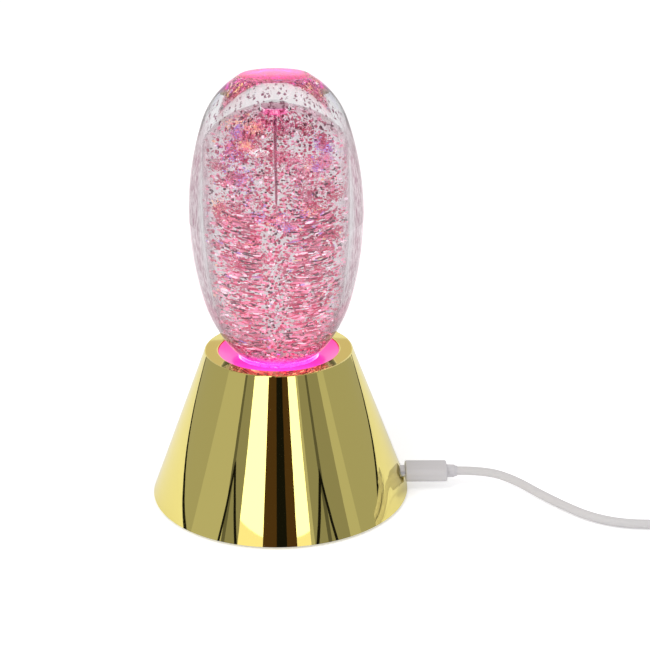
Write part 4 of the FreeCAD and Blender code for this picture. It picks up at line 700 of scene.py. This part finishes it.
# %% making the flakes
flakes = [*spread_flakes(10200), *streak_flakes(1850), *cloud_flakes(front_clouds, 420),
          *cloud_flakes(loose_clouds(64), 270)]
glitter_work = bmesh.new()
BATCH = 200
for start in range(0, len(flakes), BATCH):
    # a bmesh operator looks through the whole bmesh, so small batches are much quicker
    batch = bmesh.new()
    for place, size, turn, _, stretch in flakes[start:start + BATCH]:
        bmesh.ops.create_circle(
            batch, cap_ends=True, segments=6, radius=1,
            matrix=Matrix.Translation(Vector(place) * MM) @ turn
            @ Matrix.Diagonal((size * stretch * MM, size * MM, 1, 1)))
    batch_mesh = bpy.data.meshes.new("batch")
    batch.to_mesh(batch_mesh)
    batch.free()
    glitter_work.from_mesh(batch_mesh)
    bpy.data.meshes.remove(batch_mesh)
for face, (_, _, _, mix, _) in zip(glitter_work.faces, flakes):
    face.material_index = chance.choices(range(len(mix)), mix)[0]
finished_piece(glitter_work, "glitter", "swirl", flake_colours, "glitter", "glitter_flakes",
               smooth=False)

# %% [markdown]
# ## Studio
#
# The lamp stands in a round light tent. Its floor is white. Its wall is grey, with white strips
# either side of a dark slit for the camera, thin black seams and the legs of two stands: the gold
# cone shows all of these. The wall is only seen in reflections, because the camera should see
# plain white, and the light comes from the sky and one soft lamp. Light Path tells a shader what
# kind of ray asks. A singular ray is one from a perfectly smooth face: here, of clear plastic.

# %% studio helpers and the floor
def level_by_ray(tree, first, **levels):
    """The level from a socket, or else the one given for the kind of ray."""
    path = add_node(tree, "ShaderNodeLightPath")
    for ray, level in levels.items():
        # a ray through clear plastic counts as glossy too, so that is taken off
        asks = add_node(tree, "ShaderNodeMath", operation="SUBTRACT", use_clamp=True)
        choice = add_node(tree, "ShaderNodeMix", data_type="FLOAT")
        choice.inputs["B"].default_value = level
        join(tree, (path.outputs[f"Is {ray} Ray"], asks.inputs[0]),
             (path.outputs["Is Transmission Ray"], asks.inputs[1]),
             (asks.outputs[0], choice.inputs["Factor"]), (first, choice.inputs["A"]))
        first = choice.outputs["Result"]
    return first


def staged(work, name, *finishes):
    """Make the bmesh a piece of the studio."""
    mesh = bpy.data.meshes.new(name)
    work.to_mesh(mesh)
    work.free()
    for one in finishes:
        mesh.materials.append(one)
    piece = bpy.data.objects.new(name, mesh)
    bpy.context.scene.collection.objects.link(piece)
    return piece


# a little light of the paper's own fills in the lamp's shadow
paper, paper_tree, paper_shader = new_finish("white_paper", (0.82, 0.82, 0.83), 0.9)
paper_shader.inputs["Emission Color"].default_value = (1, 1, 1, 1)
paper_place = add_node(paper_tree, "ShaderNodeTexCoord")
paper_away = add_node(paper_tree, "ShaderNodeVectorMath", operation="LENGTH")
paper_fade = add_node(paper_tree, "ShaderNodeMapRange", From_Min=100 * MM, From_Max=240 * MM,
                      To_Min=0.20, To_Max=0.02)
paper_level = level_by_ray(paper_tree, paper_fade.outputs["Result"], Glossy=0.12, Singular=0.42,
                           Camera=0.42)
join(paper_tree, (paper_place.outputs["Object"], paper_away.inputs[0]),
     (paper_away.outputs["Value"], paper_fade.inputs["Value"]),
     (paper_level, paper_shader.inputs["Emission Strength"]))
FLOOR_HALF, FLOOR_BELOW = 6, 0.3 * MM
floor_work = bmesh.new()
bmesh.ops.create_grid(floor_work, x_segments=1, y_segments=1, size=FLOOR_HALF,
                      matrix=Matrix.Translation((0, 0, -FLOOR_BELOW)))
staged(floor_work, "floor", paper)
print("floor laid")

# %% the sky: plain for most rays, and dimmer and pinker through the vessel
world = bpy.data.worlds.new("sky")
bpy.context.scene.world = world
world.use_nodes = True
sky_tree = world.node_tree
sky = sky_tree.nodes["Background"]
sky_path = add_node(sky_tree, "ShaderNodeLightPath")
sky_way = add_node(sky_tree, "ShaderNodeTexCoord")
sky_height = add_node(sky_tree, "ShaderNodeSeparateXYZ")
glass_view = add_node(sky_tree, "ShaderNodeMapRange", From_Min=0.0, From_Max=0.3, To_Min=0.66,
                      To_Max=0.46)
glass_or_plain = add_node(sky_tree, "ShaderNodeMix", data_type="FLOAT")
glass_or_plain.inputs["A"].default_value = 0.75
pink_height = add_node(sky_tree, "ShaderNodeMapRange", From_Min=0.03, From_Max=0.10)
pink_share = add_node(sky_tree, "ShaderNodeMath", operation="MULTIPLY")
sky_colour = blend(sky_tree, (1, 1, 1), (1.12, 0.70, 0.83))
sky_level = level_by_ray(sky_tree, glass_or_plain.outputs["Result"], Glossy=1.0, Camera=1.0)
join(sky_tree, (sky_way.outputs["Generated"], sky_height.inputs["Vector"]),
     (sky_height.outputs["Z"], glass_view.inputs["Value"]),
     (glass_view.outputs["Result"], glass_or_plain.inputs["B"]),
     (sky_path.outputs["Is Transmission Ray"], glass_or_plain.inputs["Factor"]),
     (sky_level, sky.inputs["Strength"]),
     (sky_height.outputs["Z"], pink_height.inputs["Value"]),
     (pink_height.outputs["Result"], pink_share.inputs[0]),
     (sky_path.outputs["Is Transmission Ray"], pink_share.inputs[1]),
     (pink_share.outputs[0], sky_colour.inputs["Factor"]),
     (sky_colour.outputs["Result"], sky.inputs["Color"]))
print("sky lit")

# %% cloths of the tent
VESSEL_SEES = 0.7


def tent_cloth(name, level, tint=(1.0, 1.0, 1.0), vessel_sees=VESSEL_SEES):
    """Cloth that the gold sees at its own level, and the clear vessel at one plain level."""
    cloth = bpy.data.materials.new(name)
    cloth.use_nodes = True
    tree = cloth.node_tree
    tree.nodes.clear()
    path = add_node(tree, "ShaderNodeLightPath")
    seen = add_node(tree, "ShaderNodeMix", data_type="FLOAT")
    seen.inputs["A"].default_value = level
    seen.inputs["B"].default_value = vessel_sees
    light = add_node(tree, "ShaderNodeEmission", Color=(*tint, 1))
    end = add_node(tree, "ShaderNodeOutputMaterial")
    join(tree, (path.outputs["Is Singular Ray"], seen.inputs["Factor"]),
         (seen.outputs["Result"], light.inputs["Strength"]),
         (light.outputs[0], end.inputs["Surface"]))
    return cloth


cloths = {
    "grey": tent_cloth("tent_grey", 0.40), "paper": tent_cloth("tent_paper", 0.88),
    "pale": tent_cloth("tent_pale", 0.50), "dim": tent_cloth("tent_dim", 0.28),
    "side": tent_cloth("tent_side", 0.85, (1, 0.95, 1.3)), "strip": tent_cloth("tent_strip", 2.2),
    "pole": tent_cloth("tent_pole", 0.13), "post": tent_cloth("tent_post", 0.11),
    "low": tent_cloth("tent_low", 1.1, (1.0, 0.93, 0.85)),
    "warm": tent_cloth("tent_warm", 0.66, (1.0, 0.87, 0.72), 1.05),
    "brown": tent_cloth("tent_brown", 0.075, (1.0, 0.52, 0.25)),
    "black": tent_cloth("tent_black", 0.008)}
print(f"{len(cloths)} cloths")

# %% light tent
# the wall's cloths by the bearing at which each begins, seen from the lamp: 0 is straight
# towards the camera's side, and bearings grow to the right
wall_cloths = [
    (-180, "grey"), (-155, "side"), (-138, "grey"), (-75, "pale"), (-47.5, "pole"),
    (-44.5, "dim"), (-33.5, "strip"), (-13.4, "brown"), (-2, "black"), (6, "brown"),
    (13.5, "strip"), (24.5, "black"), (25.3, "pale"), (27.5, "dim"), (38.5, "post"), (41.7, "dim"),
    (58, "pale"), (68, "grey"), (138, "side"), (155, "grey"), (180, None)]
TENT_RADIUS, TENT_HIGH, TENT_PEAK = 0.41, 0.9, 1.0
SEAM_HIGH, STRIP_FOOT, SWEEP_HIGH = 0.006, 0.078, 0.22
SWEEP_FROM, WARM_FROM = 135, 160
tent_work = bmesh.new()
levels = [tent_work.verts.new((0, -TENT_RADIUS, z))
          for z in (0, SEAM_HIGH, STRIP_FOOT, SWEEP_HIGH, TENT_HIGH)]
levels.append(tent_work.verts.new((0, 0, TENT_PEAK)))
tent_edges = [tent_work.edges.new(pair) for pair in zip(levels, levels[1:])]
bmesh.ops.spin(tent_work, geom=levels + tent_edges, cent=(0, 0, 0), axis=(0, 0, 1),
               angle=2 * math.pi, steps=360, use_merge=True)
names = list(cloths)
for face in tent_work.faces:
    middle = face.calc_center_median()
    bearing = math.degrees(math.atan2(middle.x, -middle.y))
    cloth = [name for start, name in wall_cloths if start <= bearing and name][-1]
    if middle.z < SEAM_HIGH:
        cloth = "black"
    elif middle.z > TENT_HIGH:
        cloth = "grey"
    elif middle.z < STRIP_FOOT and cloth == "strip":
        cloth = "low"
    elif middle.z < SWEEP_HIGH and abs(bearing) > SWEEP_FROM:
        cloth = "paper"
    elif abs(bearing) > WARM_FROM:
        cloth = "warm"
    face.material_index = names.index(cloth)
tent = staged(tent_work, "light_tent", *cloths.values())
print("light tent up")

# %% the legs of two stands in front of the tent's wall
def on_the_wall(bearing, height):
    """A place just inside the wall, by its bearing in degrees and its height in millimetres."""
    away, turn = TENT_RADIUS * 0.98, math.radians(bearing)
    return Vector((away * math.sin(turn), -away * math.cos(turn), height * MM))


LEG_THICK = 9 * MM
LEFT_APEX, RIGHT_APEX = (-44.0, 101), (40.0, 102)
stand_work = bmesh.new()
for apex, foot in ((LEFT_APEX, (-49.5, 40)), (LEFT_APEX, (-30.5, 40)),
                   (RIGHT_APEX, (24.5, 40)), (RIGHT_APEX, (47.5, 40))):
    top, bottom = on_the_wall(*apex), on_the_wall(*foot)
    leg = top - bottom
    bmesh.ops.create_cube(stand_work, size=1, matrix=Matrix.Translation((top + bottom) / 2)
                          @ leg.to_track_quat("Z", "Y").to_matrix().to_4x4()
                          @ Matrix.Diagonal((LEG_THICK, LEG_THICK, leg.length, 1)))
stands = staged(stand_work, "tent_stands", cloths["black"])
for piece in (tent, stands):
    piece.visible_camera = False
    piece.visible_transmission = False
    piece.visible_diffuse = False
    piece.visible_shadow = False
print("stands up")

# %% soft lamp
lamp_data = bpy.data.lights.new("soft_lamp", "AREA")
lamp_data.shape = "DISK"
lamp_data.size = 0.7
lamp_data.energy = 5
soft_lamp = bpy.data.objects.new("soft_lamp", lamp_data)
lamp_place = Vector((-0.5, -0.6, 1.0))
soft_lamp.matrix_world = Matrix.Translation(lamp_place) @ (
    -lamp_place).to_track_quat("-Z", "Y").to_matrix().to_4x4()
bpy.context.scene.collection.objects.link(soft_lamp)
soft_lamp.visible_glossy = False
print("soft lamp")

# %% [markdown]
# ## View transform
#
# Colours render with the standard view transform.

# %% finish
bpy.context.scene.view_settings.view_transform = "Standard"
bpy.context.view_layer.update()
